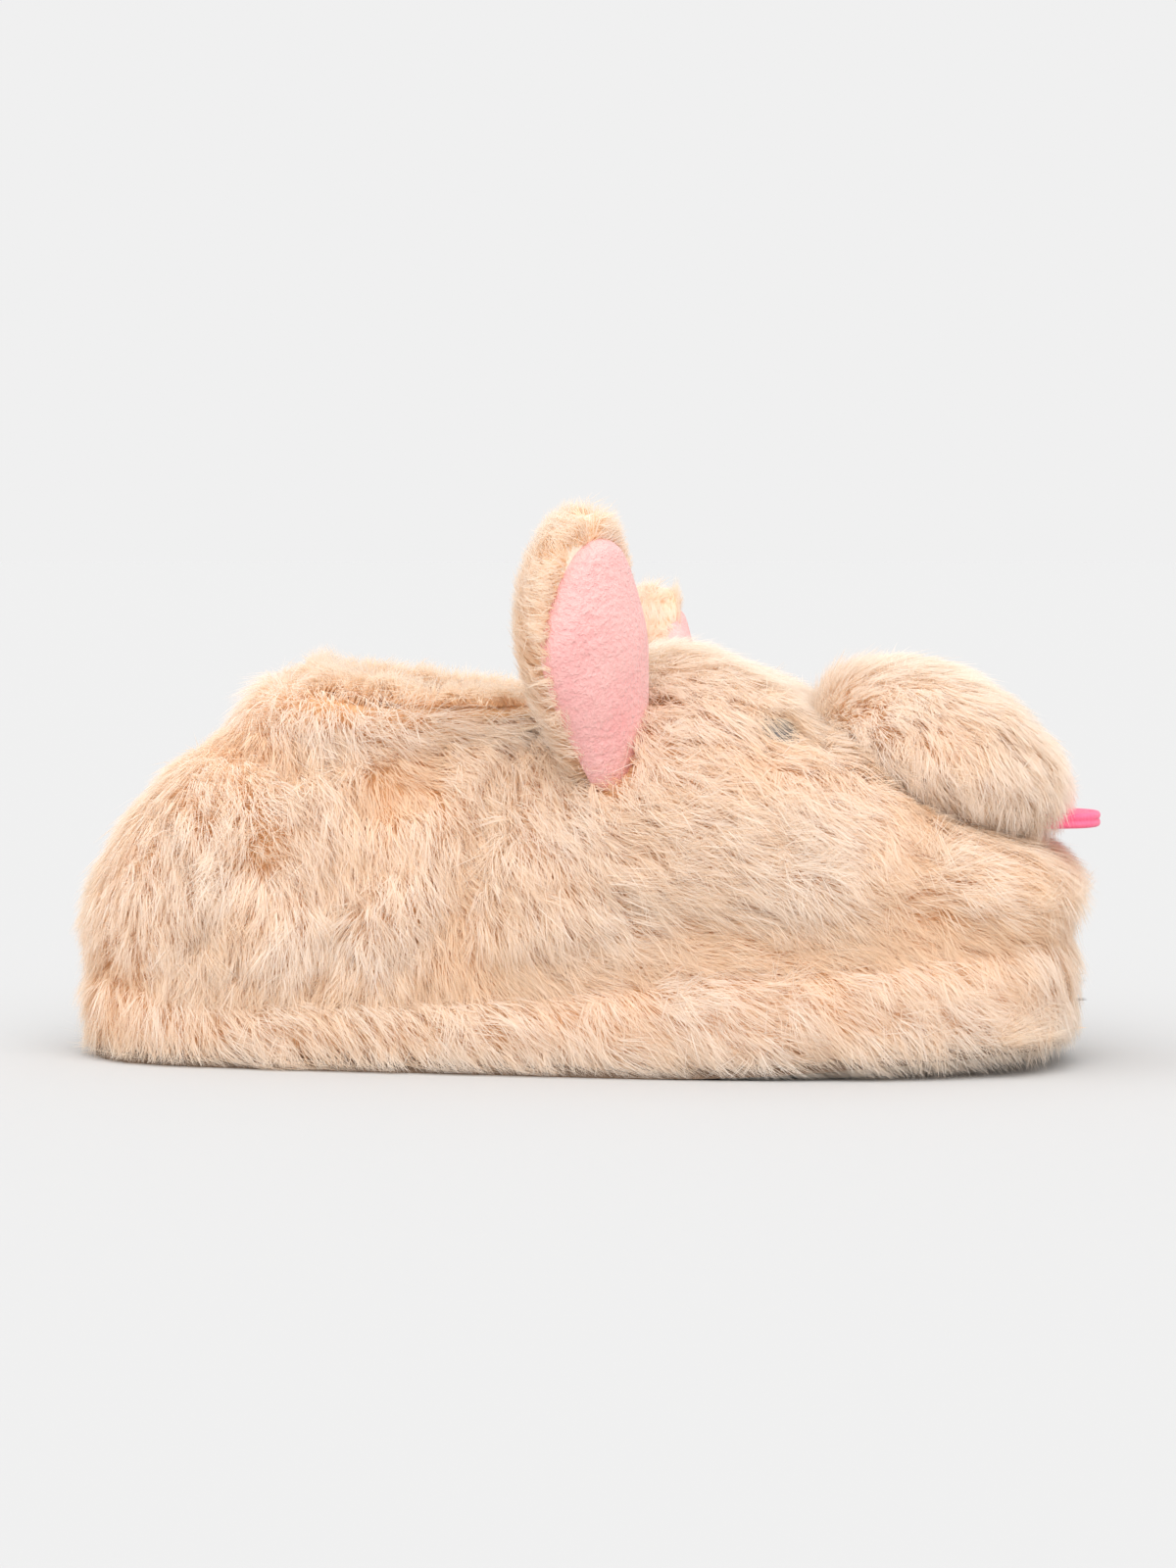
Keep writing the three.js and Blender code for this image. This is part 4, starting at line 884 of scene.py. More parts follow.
class Wire:
    """A socket of a material's node tree. Python's operators on it add Math nodes, and node adds
    any other node."""

    def __init__(self, tree, socket=None):
        self.tree, self.socket = tree, socket

    def node(self, kind, settings=None, inputs=None, output=0):
        """Adds a node, sets its settings first and then the values or links of its sockets. It
        gives the output asked for, or a list for a tuple of outputs."""
        made = self.tree.nodes.new(kind)
        for key, value in (settings or {}).items():
            setattr(made, key, value)
        for key, value in (inputs or {}).items():
            if isinstance(value, Wire):
                self.tree.links.new(value.socket, made.inputs[key])
            else:
                made.inputs[key].default_value = value
        if isinstance(output, tuple):
            return [Wire(self.tree, made.outputs[key]) for key in output]
        return Wire(self.tree, made.outputs[output] if made.outputs else None)

    def math(self, operation, first, second=0.0):
        """A Math node on two numbers or wires."""
        return self.node("ShaderNodeMath", {"operation": operation}, {0: first, 1: second})

    def __add__(self, other):
        return self.math("ADD", self, other)

    __radd__ = __add__

    def __sub__(self, other):
        return self.math("SUBTRACT", self, other)

    def __rsub__(self, other):
        return self.math("SUBTRACT", other, self)

    def __mul__(self, other):
        return self.math("MULTIPLY", self, other)

    __rmul__ = __mul__

    def __pow__(self, power):
        return self.math("POWER", self, power)

    def clamped(self):
        """Kept from 0 to 1."""
        return self.node("ShaderNodeClamp", inputs={0: self})

    def noise(self, scale, detail=2.0, roughness=0.5):
        """Soft noise about 0.5 over the object's own coordinates."""
        inputs = {"Scale": scale, "Detail": detail, "Roughness": roughness}
        return self.node("ShaderNodeTexNoise", inputs={"Vector": self.place(), **inputs})

    def place(self):
        """The object's own coordinates."""
        return self.node("ShaderNodeTexCoord", output="Object")

    def blend(self, first, second, factor):
        """A colour from first to second."""
        settings = {"data_type": "RGBA", "clamp_factor": True}
        return self.node("ShaderNodeMix", settings, {0: factor, 6: first, 7: second}, 2)

    def bump(self, height, distance):
        """A normal raised by a height from 0 to 1 over a distance in metres."""
        inputs = {"Height": height, "Distance": distance, "Strength": 1.0}
        return self.node("ShaderNodeBump", inputs=inputs)

    def principled(self, inputs):
        """A surface from its sockets' values."""
        return self.node("ShaderNodeBsdfPrincipled", inputs=inputs)

    def finish(self, shader):
        """Makes a shader the material's surface."""
        self.node("ShaderNodeOutputMaterial", inputs={"Surface": shader})


def opaque(colour):
    """A colour property with an alpha of one."""
    return (*colour, 1.0)


def paler(colour, times):
    """A colour some times as light, at most white."""
    return [min(1, times * part) for part in colour]


def colours():
    """The panel's colours."""
    return bpy.context.scene.slipper_colours


def blank_material(name):
    """An empty node material, found again if it is there, and its first wire."""
    made = bpy.data.materials.get(name) or bpy.data.materials.new(name)
    made.use_nodes = True
    made.node_tree.nodes.clear()
    return made, Wire(made.node_tree)


def plush():
    """Strands. Their own map gives the root-to-tip colours, with painted shade at the roots, and
    the strands' colour shares, random and with painted shade; noise adds patches, and light comes
    through in the glow's colour, which warms the gaps between tufts."""
    made, wire = blank_material("plush pile")
    paints = colours()
    strand = wire.node("ShaderNodeUVMap", {"uv_map": "strand"})
    tone_and_shade, down = wire.node("ShaderNodeSeparateXYZ", inputs={0: strand}, output=(0, 1))
    patch = wire.noise(26.0, 2.0, 0.55)
    shade = (tone_and_shade * 1.3 + patch * 1.2 + down * 0.5 - 1.1).clamped()
    body = wire.blend(opaque(paints.peach), opaque(paints.cream), shade)
    # painted shade: the root colour darkens the foot of each strand, deep in the pile
    from_root = (down * 1.9 + tone_and_shade * 0.3 - 0.15).clamped()
    surface = wire.principled(
        {"Base Color": wire.blend(opaque(paints.roots), body, from_root), "Roughness": 0.72,
         "Sheen Weight": 0.12, "Sheen Roughness": 0.4, "Sheen Tint": (1.0, 0.9, 0.78, 1.0),
         "Specular IOR Level": 0.12}
    )
    glow = wire.node("ShaderNodeBsdfTranslucent", inputs={"Color": opaque(paints.glow)})
    share = {0: TRANSLUCENCE, 1: surface, 2: glow}
    wire.finish(wire.node("ShaderNodeMixShader", inputs=share))
    return made


def cloth_material(name, low, high, scale, distance, sheen=0.3):
    """Short nap: two tones in fine noise over soft patches, raised by the same noise, so the first
    tone is painted shade in the nap's dips and the patches vary it at random. scale is the nap's,
    in waves a metre, and distance its depth in metres."""
    made, wire = blank_material(name)
    nap, patch = wire.noise(scale, 3.0, 0.65), wire.noise(scale / 14, 2.0)
    factor = (nap * 1.3 + patch * 1.1 - 0.7).clamped()
    wire.finish(
        wire.principled(
            {"Base Color": wire.blend(opaque(low), opaque(high), factor), "Roughness": 0.9,
             "Sheen Weight": sheen, "Sheen Roughness": 0.35, "Specular IOR Level": 0.2,
             "Normal": wire.bump(nap, distance)}
        )
    )
    return made


def backing():
    """The cloth under the pile, with a deeper tan that is partly painted shade between the strands.
    """
    return cloth_material("pile backing", colours().backing, colours().roots, 900.0, 0.4 * MM)


def fleece():
    """The lining, the insole and the ears under their pile."""
    return cloth_material("fleece lining", colours().peach, colours().fleece, 700.0, 0.6 * MM)


def eye_material():
    """Dark satin: two blacks in soft noise under a thin coat."""
    made, wire = blank_material("eye satin")
    cloud = wire.noise(240.0, 2.0)
    dark, light = opaque(colours().eye), opaque(paler(colours().eye, 2.1))
    wire.finish(
        wire.principled(
            {"Base Color": wire.blend(dark, light, cloud), "Roughness": 0.34 + cloud * 0.16,
             "Coat Weight": 0.4, "Coat Roughness": 0.2, "Normal": wire.bump(cloud, 0.1 * MM)}
        )
    )
    return made


def rubber_material():
    """A grip sheet: raised round dots in rows on matt rubber with faint dust."""
    made, wire = blank_material("grip rubber")
    dots = wire.node(
        "ShaderNodeTexVoronoi", {"feature": "F1"},
        {"Vector": wire.place(), "Scale": 260.0, "Randomness": 0.0},
    )
    dot_height = (1 - dots * 2.6).clamped() ** 0.5
    dust = wire.noise(60.0, 4.0, 0.6)
    base = opaque(colours().rubber)
    pale = opaque(paler(colours().rubber, 1.7))
    worn = (dust * 0.9 - 0.25 + dot_height * 0.2).clamped()
    wire.finish(
        wire.principled(
            {"Base Color": wire.blend(base, pale, worn),
             "Roughness": 0.62 + dust * 0.25, "Specular IOR Level": 0.35,
             "Normal": wire.bump(dot_height + dust * 0.1, 0.5 * MM)}
        )
    )
    return made


# The making of the pieces


def foot():
    """The foot, at the panel's sizes."""
    return Foot(bpy.context.scene.slipper_sizes)


def muzzle():
    """The muzzle, at the panel's sizes."""
    return Muzzle(bpy.context.scene.slipper_muzzle, foot())


def ears():
    """Each ear's row of the table, and the ear at the panel's sizes."""
    return [(row, Ear(row, bpy.context.scene.slipper_ears, foot())) for row in EARS]


def pile_height():
    """How far the laid pile stands over its backing."""
    return bpy.context.scene.slipper_pile.height


def number(region):
    """How many strands a region has."""
    return int(PILES[region]["count"] * bpy.context.scene.slipper_pile.density)


def turns(count):
    """Angles round a ring, evenly spaced."""
    return np.arange(count) * 2 * np.pi / count


def same(around, value):
    """One value at every angle of a ring."""
    return np.full_like(around, value)


def clear_of_fittings(point, near_ear=0.66):
    """True where no muzzle or ear stands on the pile. near_ear is how far inside an ear the pile
    still grows: 0 is its middle and 1 its face."""
    free = muzzle().outside(point) > 0.5 * MM
    for _, ear in ears():
        free &= ear.within(point) > near_ear
    return free


def nose_middle(shape):
    """High in the cleft of the muzzle."""
    return shape.face(np.array(NOSE_TIP), np.array(np.pi / 2))


def eye_place(shape, side):
    """Where an eye is sewn on, and the way out of the pile there."""
    turn = math.acos(1 - 2 * EYE_AT)
    around = np.array([turn if side == OUTER else 2 * np.pi - turn])
    point, out = frames(shape.face, around, np.array([EYE_UP]), shape.middle)
    return point[0], out[0]


def near_eyes(shape, point, reach):
    """A bell curve round each eye."""
    places = [eye_place(shape, row["side"])[0] for row in EARS]
    return sum(np.exp(-(((point - place) / reach) ** 2).sum(axis=-1)) for place in places)


def beside_vamp(at):
    """1 beside the vamp, fading to 0 at the quarter and at the toe."""
    return smooth(at, 0.36, 0.5) * smooth(-at, -0.94, -0.84)


def combed(shape, point, around, up):
    """The way the upper's pile is combed, how far it lies and how far it rises. The way slopes
    towards the toe as the table says and spreads from the ridge. A whorl adds a push from its
    middle, pull exp(-(far / reach)^2 / 2), and the pile lies less there. The pile is low along
    the seam. Behind the muzzle it runs forwards and stands up, and it closes over the eyes."""
    at, side = shape.at(around), shape.side(around)
    slope = np.radians(mix(read(COMB, "low", at), read(COMB, "high", at), smooth(up, 0.15, 0.95)))
    flow = np.stack([np.cos(slope), 0.3 * side * np.sin(slope), -np.sin(slope)], axis=-1)
    for whorl in WHORLS:
        ahead, above = seen_from_side(whorl, point)
        far = np.hypot(ahead, above)
        near = np.exp(-((far / whorl["reach"]) ** 2) / 2) * (side == whorl["side"])
        push = whorl["pull"] * near / np.maximum(far, 1.0)
        flow = flow + np.stack([ahead * push, np.zeros_like(push), above * push], axis=-1)
    head = shape.sizes.head_height
    behind = np.exp(-((muzzle().outside(point) / (9 * MM)) ** 2))
    behind = behind * smooth(point[..., 2], 0.68 * head, 0.8 * head)
    flow = flow + behind[..., None] * np.array([1.2, 0, 0.5])
    lay = np.clip(np.linalg.norm(flow, axis=-1), 0.55, 1.0)
    seam_rise = mix(0.95, 0.6, beside_vamp(at))
    rise = mix(seam_rise, 1.0, smooth(up, 0.02, 0.15)) * (1 + 0.3 * behind)
    return flow, lay, rise + 0.2 * near_eyes(shape, point, 9 * MM)


class SLIPPER_OT_stage(bpy.types.Operator):
    """Lay the floor and set the lights and the camera"""

    bl_idname = "slipper.stage"
    bl_label = "Studio"

    def execute(self, context):
        """The floor is one square. The rest has a method each."""
        scene = context.scene
        made, wire = blank_material("studio floor")
        colour = opaque(scene.slipper_colours.floor)
        matt = {"Base Color": colour, "Roughness": 1.0, "Specular IOR Level": 0.0}
        wire.finish(wire.principled(matt))
        square = np.array([[-1, -1, 0], [1, -1, 0], [1, 1, 0], [-1, 1, 0]]) * FLOOR_HALF
        mesh = bpy.data.meshes.new("floor")
        mesh.from_pydata(square.tolist(), [], [[0, 1, 2, 3]])
        mesh.materials.append(made)
        floor = bpy.data.objects.new("floor", mesh)
        scene.collection.objects.link(floor)
        self.light(scene)
        self.camera(scene)
        return {"FINISHED"}

    def light(self, scene):
        """Even light from all round, and two broad soft lights from above that leave no hard
        shadow. Together they show the floor at the studio's own colour."""
        world = bpy.data.worlds.get("studio") or bpy.data.worlds.new("studio")
        scene.world = world
        world.use_nodes = True
        world.node_tree.nodes.clear()
        wire = Wire(world.node_tree)
        colour = opaque(scene.slipper_colours.backdrop)
        shade = wire.node("ShaderNodeBackground", inputs={"Color": colour, "Strength": 1.0})
        wire.node("ShaderNodeOutputWorld", inputs={"Surface": shade})
        for name, power, spread, back in LIGHTS:
            lamp = bpy.data.lights.new(name, "SUN")
            lamp.energy, lamp.angle = power, math.radians(spread)
            made = bpy.data.objects.new(name, lamp)
            made.rotation_euler = Vector(back).to_track_quat("Z", "Y").to_euler()
            scene.collection.objects.link(made)
        scene.view_settings.view_transform = "Standard"

    def camera(self, scene):
        """The photograph's view: nearly level, from the outer side and a little ahead."""
        azimuth, elevation, distance = math.radians(7), math.radians(3), 1.1
        aim, focal_length, film_width = Vector((0.003, 0.0, 0.067)), 103.2, 36.0
        ahead, aside = math.sin(azimuth), -math.cos(azimuth)
        near = math.cos(elevation)
        back = Vector((ahead * near, aside * near, math.sin(elevation)))
        lens = bpy.data.cameras.new("camera")
        lens.lens, lens.sensor_width = focal_length, film_width
        made = bpy.data.objects.new("camera", lens)
        made.location = aim + back * distance
        made.rotation_euler = back.to_track_quat("Z", "Y").to_euler()
        scene.collection.objects.link(made)
        scene.camera = made


class SLIPPER_OT_outsole(bpy.types.Operator):
    """Finish the grip sheet under the sole"""

    bl_idname = "slipper.outsole"
    bl_label = "Outsole"

    def execute(self, context):
        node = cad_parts["outsole"]
        made = rubber_material()
        for place in node.material_slots:
            place.material = made
        return {"FINISHED"}


class SLIPPER_OT_sole(bpy.types.Operator):
    """Build the sole band's foam and backing, and its pile"""

    bl_idname = "slipper.sole"
    bl_label = "Sole band"

    def execute(self, context):
        """Rings from under the foam, up the band's side and down into the footbed."""
        shape, sizes = foot(), context.scene.slipper_sizes
        around = turns(FOOT_COLUMNS)
        at = shape.at(around)
        low = shape.spring(at) + sizes.outsole + sizes.clearance
        drawn = same(around, sizes.seam_depth + sizes.wall + 1.5 * MM)
        bed = same(around, sizes.footbed)
        depth = BAND_SINK * pile_height()
        rows = [shape.spine(around, low)]
        rows += [shape.band(around, same(around, lift), depth) for lift in np.linspace(0, 1, 13)]
        rows += [
            shape.ring(around, drawn, shape.seam(at) - sizes.clearance),
            shape.ring(around, drawn + 1 * MM, bed),
            shape.spine(around, bed),
        ]
        wrap = skin("sole_band", rows, backing())
        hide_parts("sole_wrap")
        self.grow_band(shape, depth)
        return {"FINISHED"}

    def grow_band(self, shape, depth):
        """The band's pile runs down and towards the toe, and hangs over the sole's edge. At the
        toe it hangs straight and is shorter."""
        rng = np.random.default_rng(31)

        def form(around, lift):
            return shape.band(around, lift, depth)

        def weight(around, lift, point):
            return 1 + 1.2 * smooth(-lift, -0.3, -0.1)

        around, lift = scatter(form, (0, 2 * np.pi), (0.0, 1.0), number("band"), rng, weight)
        point, out = frames(form, around, lift, shape.middle)
        at = shape.at(around)
        toe = smooth(at, 0.95, 0.99)
        slope = np.radians(mix(mix(82, 38, smooth(at, 0.02, 0.2)), 72, toe))
        flow = np.stack([np.cos(slope), np.zeros_like(slope), -np.sin(slope)], axis=-1)
        lay = mix(mix(1.3, 0.75, toe), 1.0, smooth(lift, 0.1, 0.4))
        rise = mix(1.0, 0.62, smooth(lift, 0.8, 1.0) * beside_vamp(at))
        grow("sole_pile", point, out, flow, "band", 32, plush(), lay, rise)


class SLIPPER_OT_insole(bpy.types.Operator):
    """Lay the insole in the footbed"""

    bl_idname = "slipper.insole"
    bl_label = "Insole"

    def execute(self, context):
        """A slab whose top falls to its rim as (1 - share^8)^(1/2)."""
        shape, sizes = foot(), context.scene.slipper_sizes
        around = turns(FOOT_COLUMNS)
        inset = sizes.seam_depth + sizes.wall + 3 * MM
        low, thick = sizes.footbed + sizes.clearance, 0.9 * sizes.insole
        rim = shape.ring(around, same(around, inset), np.zeros_like(around))
        middle = shape.spine(around, 0)
        top = [(share, low + thick * math.sqrt(1 - share**8)) for share in np.linspace(0, 1, 14)]
        under = [(share, low) for share in (0.97, 0.5, 0)]
        rows = [mix(middle, rim, share) + Z_AXIS * height for share, height in top + under]
        made = skin("insole_pad", rows, fleece())
        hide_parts("insole")
        return {"FINISHED"}


class SLIPPER_OT_upper(bpy.types.Operator):
    """Build the upper's wall, its lining and the pile over them"""

    bl_idname = "slipper.upper"
    bl_label = "Upper"

    def execute(self, context):
        """One closed wall: up the backing, over the rolled edge and down the inner face. Ahead of
        the throat there is no rolled edge, because the two sides meet on the ridge."""
        shape, sizes = foot(), context.scene.slipper_sizes
        around = turns(FOOT_COLUMNS)
        tall = [same(around, up) for up in np.linspace(0, 1, 29)]
        rolls = [same(around, turn) for turn in np.linspace(0, 1, 9)[1:-1]]
        at = shape.at(around)
        ahead = np.minimum(at, np.roll(at, -1)) >= shape.throat
        depth, inner = pile_height(), same(around, sizes.wall - 0.1 * MM)
        rows = [shape.backing(around, up, depth)[0] for up in tall]
        rows += [shape.collar(around, turn, ROLL_SINK) for turn in rolls]
        rows += [shape.inside(around, up, inner) for up in tall[::-1]]
        edges = np.arange(len(tall) - 1, len(tall) + len(rolls))

        def keep(row, column):
            return ~(np.isin(row, edges) & ahead[column])

        wall = skin("upper_wall", rows, backing(), loop=True, keep=keep)
        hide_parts("upper")
        self.line(shape, sizes, around, tall, ahead)
        self.grow_upper(shape, depth)
        self.grow_collar(shape)
        return {"FINISHED"}

    def line(self, shape, sizes, around, tall, ahead):
        """A soft lining on the wall's inner face, puffed inwards by noise, with a skirt of three
        rings that reaches down to the insole."""
        soft = [0.3 * MM * (1 + soft_noise(shape.rib(around, up), 11 * MM, 9)) for up in tall]
        seam, hem = shape.seam(shape.at(around)), same(around, sizes.footbed + 2.5 * MM)
        drawn = same(around, sizes.seam_depth + sizes.wall)
        hidden_depth = same(around, sizes.wall - 0.4 * MM)
        shown = [
            shape.ring(around, drawn + 3.4 * MM, hem),
            shape.ring(around, drawn + 3 * MM, seam - 1.5 * MM),
            shape.ring(around, drawn + 1 * MM, seam + 0.4 * MM),
            *(shape.inside(around, up, sizes.wall + puff) for up, puff in zip(tall, soft)),
        ]
        hidden = [
            shape.ring(around, drawn + 2.7 * MM, hem),
            shape.ring(around, drawn + 2.3 * MM, seam - 1.5 * MM),
            shape.ring(around, drawn + 1 * MM, seam),
            *(shape.inside(around, up, hidden_depth) for up in tall),
        ]

        def keep(row, column):
            return ~((row == len(shown) - 1) & ahead[column])

        rows = [*shown, *hidden[::-1]]
        skin("upper_lining", rows, fleece(), loop=True, keep=keep)

    def grow_upper(self, shape, depth):
        """Pile over quarter, vamp and head, combed as the table says. It has painted shade, warmer
        and darker, in creases and under the muzzle, and painted light, paler, towards the ridge."""

        def form(around, up):
            return shape.backing(around, up, depth)[0]

        regions = {
            "quarter": lambda at, up: at < VAMP_FROM,
            "vamp": lambda at, up: (at >= VAMP_FROM) & (up < HEAD_FROM),
            "head": lambda at, up: (at >= VAMP_FROM) & (up >= HEAD_FROM),
        }
        for seed, (region, inside) in enumerate(regions.items()):
            rng = np.random.default_rng(41 + seed)

            def weight(around, up, point, inside=inside):
                dense = 1 + 1.6 * near_eyes(shape, point, 6 * MM)
                return inside(shape.at(around), up) * clear_of_fittings(point) * dense

            around, up = scatter(form, (0, 2 * np.pi), (0.0, 1.0), number(region), rng, weight)
            point, out = frames(form, around, up, shape.middle)
            flow, lay, rise = combed(shape, point, around, up)
            rise = rise * np.clip(shape.backing(around, up, depth)[1], 0.35, 1.2)
            # painted shade in creases and under the muzzle, and painted light towards the ridge, in
            # the strands' colour
            creased = smooth(-shape.relief(around, up, point), 0.5 * MM, 4 * MM)
            shaded = smooth(-muzzle().outside(point), -5 * MM, -1 * MM)
            painted_shade = creased + 0.9 * shaded - 0.8 * smooth(up, 0.55, 0.85)
            grow(f"{region}_pile", point, out, flow, region, 51 + seed, plush(), lay, rise, painted_shade)

    def grow_collar(self, shape):
        """Short upright pile over the rolled edge, parted along it."""
        rng = np.random.default_rng(61)

        def form(around, turn):
            return shape.collar(around, turn, ROLL_SINK)

        def weight(around, turn, point):
            return (shape.at(around) < shape.throat + 0.01) & clear_of_fittings(point, 0.3)

        around, turn = scatter(form, (0, 2 * np.pi), (-0.15, 0.95), number("collar"), rng, weight)
        point, _ = frames(form, around, turn, shape.middle)
        crest = shape.top(np.minimum(shape.at(around), shape.throat), shape.side(around))
        out = unit(point - crest + Z_AXIS * shape.sizes.wall / 2)
        outwards = (turn < 0.3)[:, None]
        flow = np.where(outwards, -out * [1, 1, 0], out * [1, 1, 0]) - 0.4 * Z_AXIS
        at = shape.at(around)
        rise = mix(0.8, 1.15, smooth(at, 0.34, 0.46)) + 0.3 * smooth(-at, -0.3, -0.24)
        grow("collar_pile", point, out, flow, "collar", 62, plush(), 1.0, rise)


class SLIPPER_OT_muzzle(bpy.types.Operator):
    """Stuff the muzzle and cover it in pile"""

    bl_idname = "slipper.muzzle"
    bl_label = "Muzzle"

    def execute(self, context):
        shape, depth, around = muzzle(), MUZZLE_SINK * pile_height(), turns(96)
        tips = np.linspace(0, np.pi, 49)
        rows = [shape.face(same(around, tip), around, depth) for tip in tips]
        body = skin("muzzle_body", rows, backing())
        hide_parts("muzzle")
        self.grow_muzzle(shape, depth)
        return {"FINISHED"}

    def grow_muzzle(self, shape, depth):
        """Its pile runs forwards over the top and then down. It is fuller on the brow, low beside
        the nose and under the jowls, and none grows on the nose or inside the upper."""
        upper, rng = foot(), np.random.default_rng(71)
        nose, sizes = nose_middle(shape), shape.sizes

        def form(tip, around):
            return shape.face(tip, around, depth)

        def weight(tip, around, point):
            flat = [1, 1, sizes.nose_width / sizes.nose_height]
            free = np.linalg.norm((point - nose) * flat, axis=-1) > 0.5 * sizes.nose_width
            x, _, z = np.moveaxis(shape.local(point), -1, 0)
            buried = smooth(-z, 0.3, 0.6) * smooth(-x, -0.3, 0.1)
            high = point[..., 2] > upper.sizes.toe_height - 12 * MM
            return free * high * (1 - 0.85 * buried)

        tip, around = scatter(form, (0, np.pi), (0, 2 * np.pi), number("muzzle"), rng, weight)
        point, out = frames(form, tip, around, shape.middle)
        x, y, z = shape.local(point).T
        front = smooth(x, -0.85, -0.15)
        flow = np.stack([mix(1.0, 0.62, front), 0.35 * y, mix(0.2, -0.75, front)], axis=-1)
        brow = smooth(x, 0.2, 0.9) * smooth(z, -0.4, 0.3)
        mouth = smooth(-z, 0.15, 0.6)
        beside = np.exp(-(((point - nose) / (11 * MM)) ** 2).sum(axis=-1))
        rise = (1 + 0.5 * brow - 0.25 * mouth) * (1 - 0.6 * beside)
        # painted shade: the muzzle's underside is painted warmer and darker, the rest of it paler
        painted_shade = 1.2 * mouth - 0.8
        grow("muzzle_pile", point, out, flow, "muzzle", 72, plush(), 1.0, rise, painted_shade)


class SLIPPER_OT_nose(bpy.types.Operator):
    """Sew the nose into the cleft"""

    bl_idname = "slipper.nose"
    bl_label = "Nose"

    def execute(self, context):
        """A rounded pad, sin^0.7 tip across, and wider at the top by a share of sin around."""
        shape, around = muzzle(), turns(64)
        sizes, place = shape.sizes, nose_middle(shape)
        middle = place - unit(place - shape.middle) * NOSE_SINK
        taper = 1 + NOSE_TAPER * np.sin(around)
        rows = []
        for tip in np.linspace(0, np.pi, 33):
            wide = max(0.0, math.sin(tip)) ** 0.7
            proud = same(around, -math.cos(tip) * sizes.nose_proud)
            across = wide * np.cos(around) * taper * sizes.nose_width / 2
            rise = wide * np.sin(around) * sizes.nose_height / 2
            rows.append(np.stack([proud, across, rise], axis=-1) @ nodded(NOSE_TILT).T + middle)
        dark = colours().nose
        velour = cloth_material("nose velour", dark, paler(dark, 2.4), 1500.0, 0.25 * MM, 0.6)
        made = skin("nose_pad", rows, velour)
        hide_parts("nose")
        return {"FINISHED"}


class SLIPPER_OT_tongue(bpy.types.Operator):
    """Sew the felt tongue under the muzzle"""

    bl_idname = "slipper.tongue"
    bl_label = "Tongue"

    def execute(self, context):
        """Two layers of felt. The outline is a superellipse, rounder at the tip than at the seam.
        Rows go from the middle out to the edge and back below, and the stitching draws both
        layers in by a bell curve inside the edge."""
        sizes, upper, around = context.scene.slipper_muzzle, foot(), turns(90)
        depth = sizes.tongue_thickness / 2
        middle = np.array(
            [
                upper.along(1) + sizes.tongue_proud - sizes.tongue_length / 2,
                upper.drift(np.array(1.0)),
                upper.sizes.toe_height + sizes.tongue_lift + depth,
            ]
        )
        c, s = np.cos(around), np.sin(around)
        power = np.where(c > 0, *TONGUE_ROUND)
        reach = (np.abs(c) ** power + np.abs(s) ** power) ** (-1 / power)
        length, width = sizes.tongue_length / 2, sizes.tongue_width / 2
        outline = np.stack([reach * c * length, reach * s * width, np.zeros_like(c)], axis=-1)
        upper_half = [(share, 1.0) for share in np.linspace(0, 0.94, 20)] + FELT_EDGE
        rows = []
        for share, high in upper_half + [(share, -high) for share, high in upper_half[::-1]]:
            seam = 0.22 * math.exp(-(((share - 0.82) / 0.035) ** 2))
            rows.append(middle + outline * share + Z_AXIS * depth * high * (1 - seam))
        pale = colours().felt
        deep = [share * tint for share, tint in zip(pale, (0.93, 0.6, 0.75))]
        felt = cloth_material("tongue felt", deep, pale, 1300.0, 0.3 * MM, 0.2)
        made = skin("tongue_felt", rows, felt)
        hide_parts("tongue")
        return {"FINISHED"}


class SLIPPER_OT_eyes(bpy.types.Operator):
    """Sew the eyes into the pile"""

    bl_idname = "slipper.eyes"
    bl_label = "Eyes"

    def execute(self, context):
        """Low round domes with a flat back and a short rim, sunk in the pile: an ellipse's
        quarter (cos a, sin a) turned about the way out."""
        sizes, upper, around = context.scene.slipper_muzzle, foot(), turns(48)
        satin, radius = eye_material(), 0.92 * sizes.eye / 2
        dome = [(math.cos(a), math.sin(a)) for a in np.linspace(0.05, np.pi / 2, 12)]
        for row in EARS:
            point, out = eye_place(upper, row["side"])
            across = unit(np.cross(out, X_AXIS))
            level = np.cross(across, out)
            ring = across * np.cos(around)[:, None] + level * np.sin(around)[:, None]
            middle = point - out * sizes.eye_sink
            rows = [
                middle + ring * radius * wide + out * sizes.eye_dome * high
                for wide, high in EYE_RIM + dome
            ]
            made = skin(f"eye_dome_{row['name']}", rows, satin)
            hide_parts(f"eye_{row['name']}")
        return {"FINISHED"}


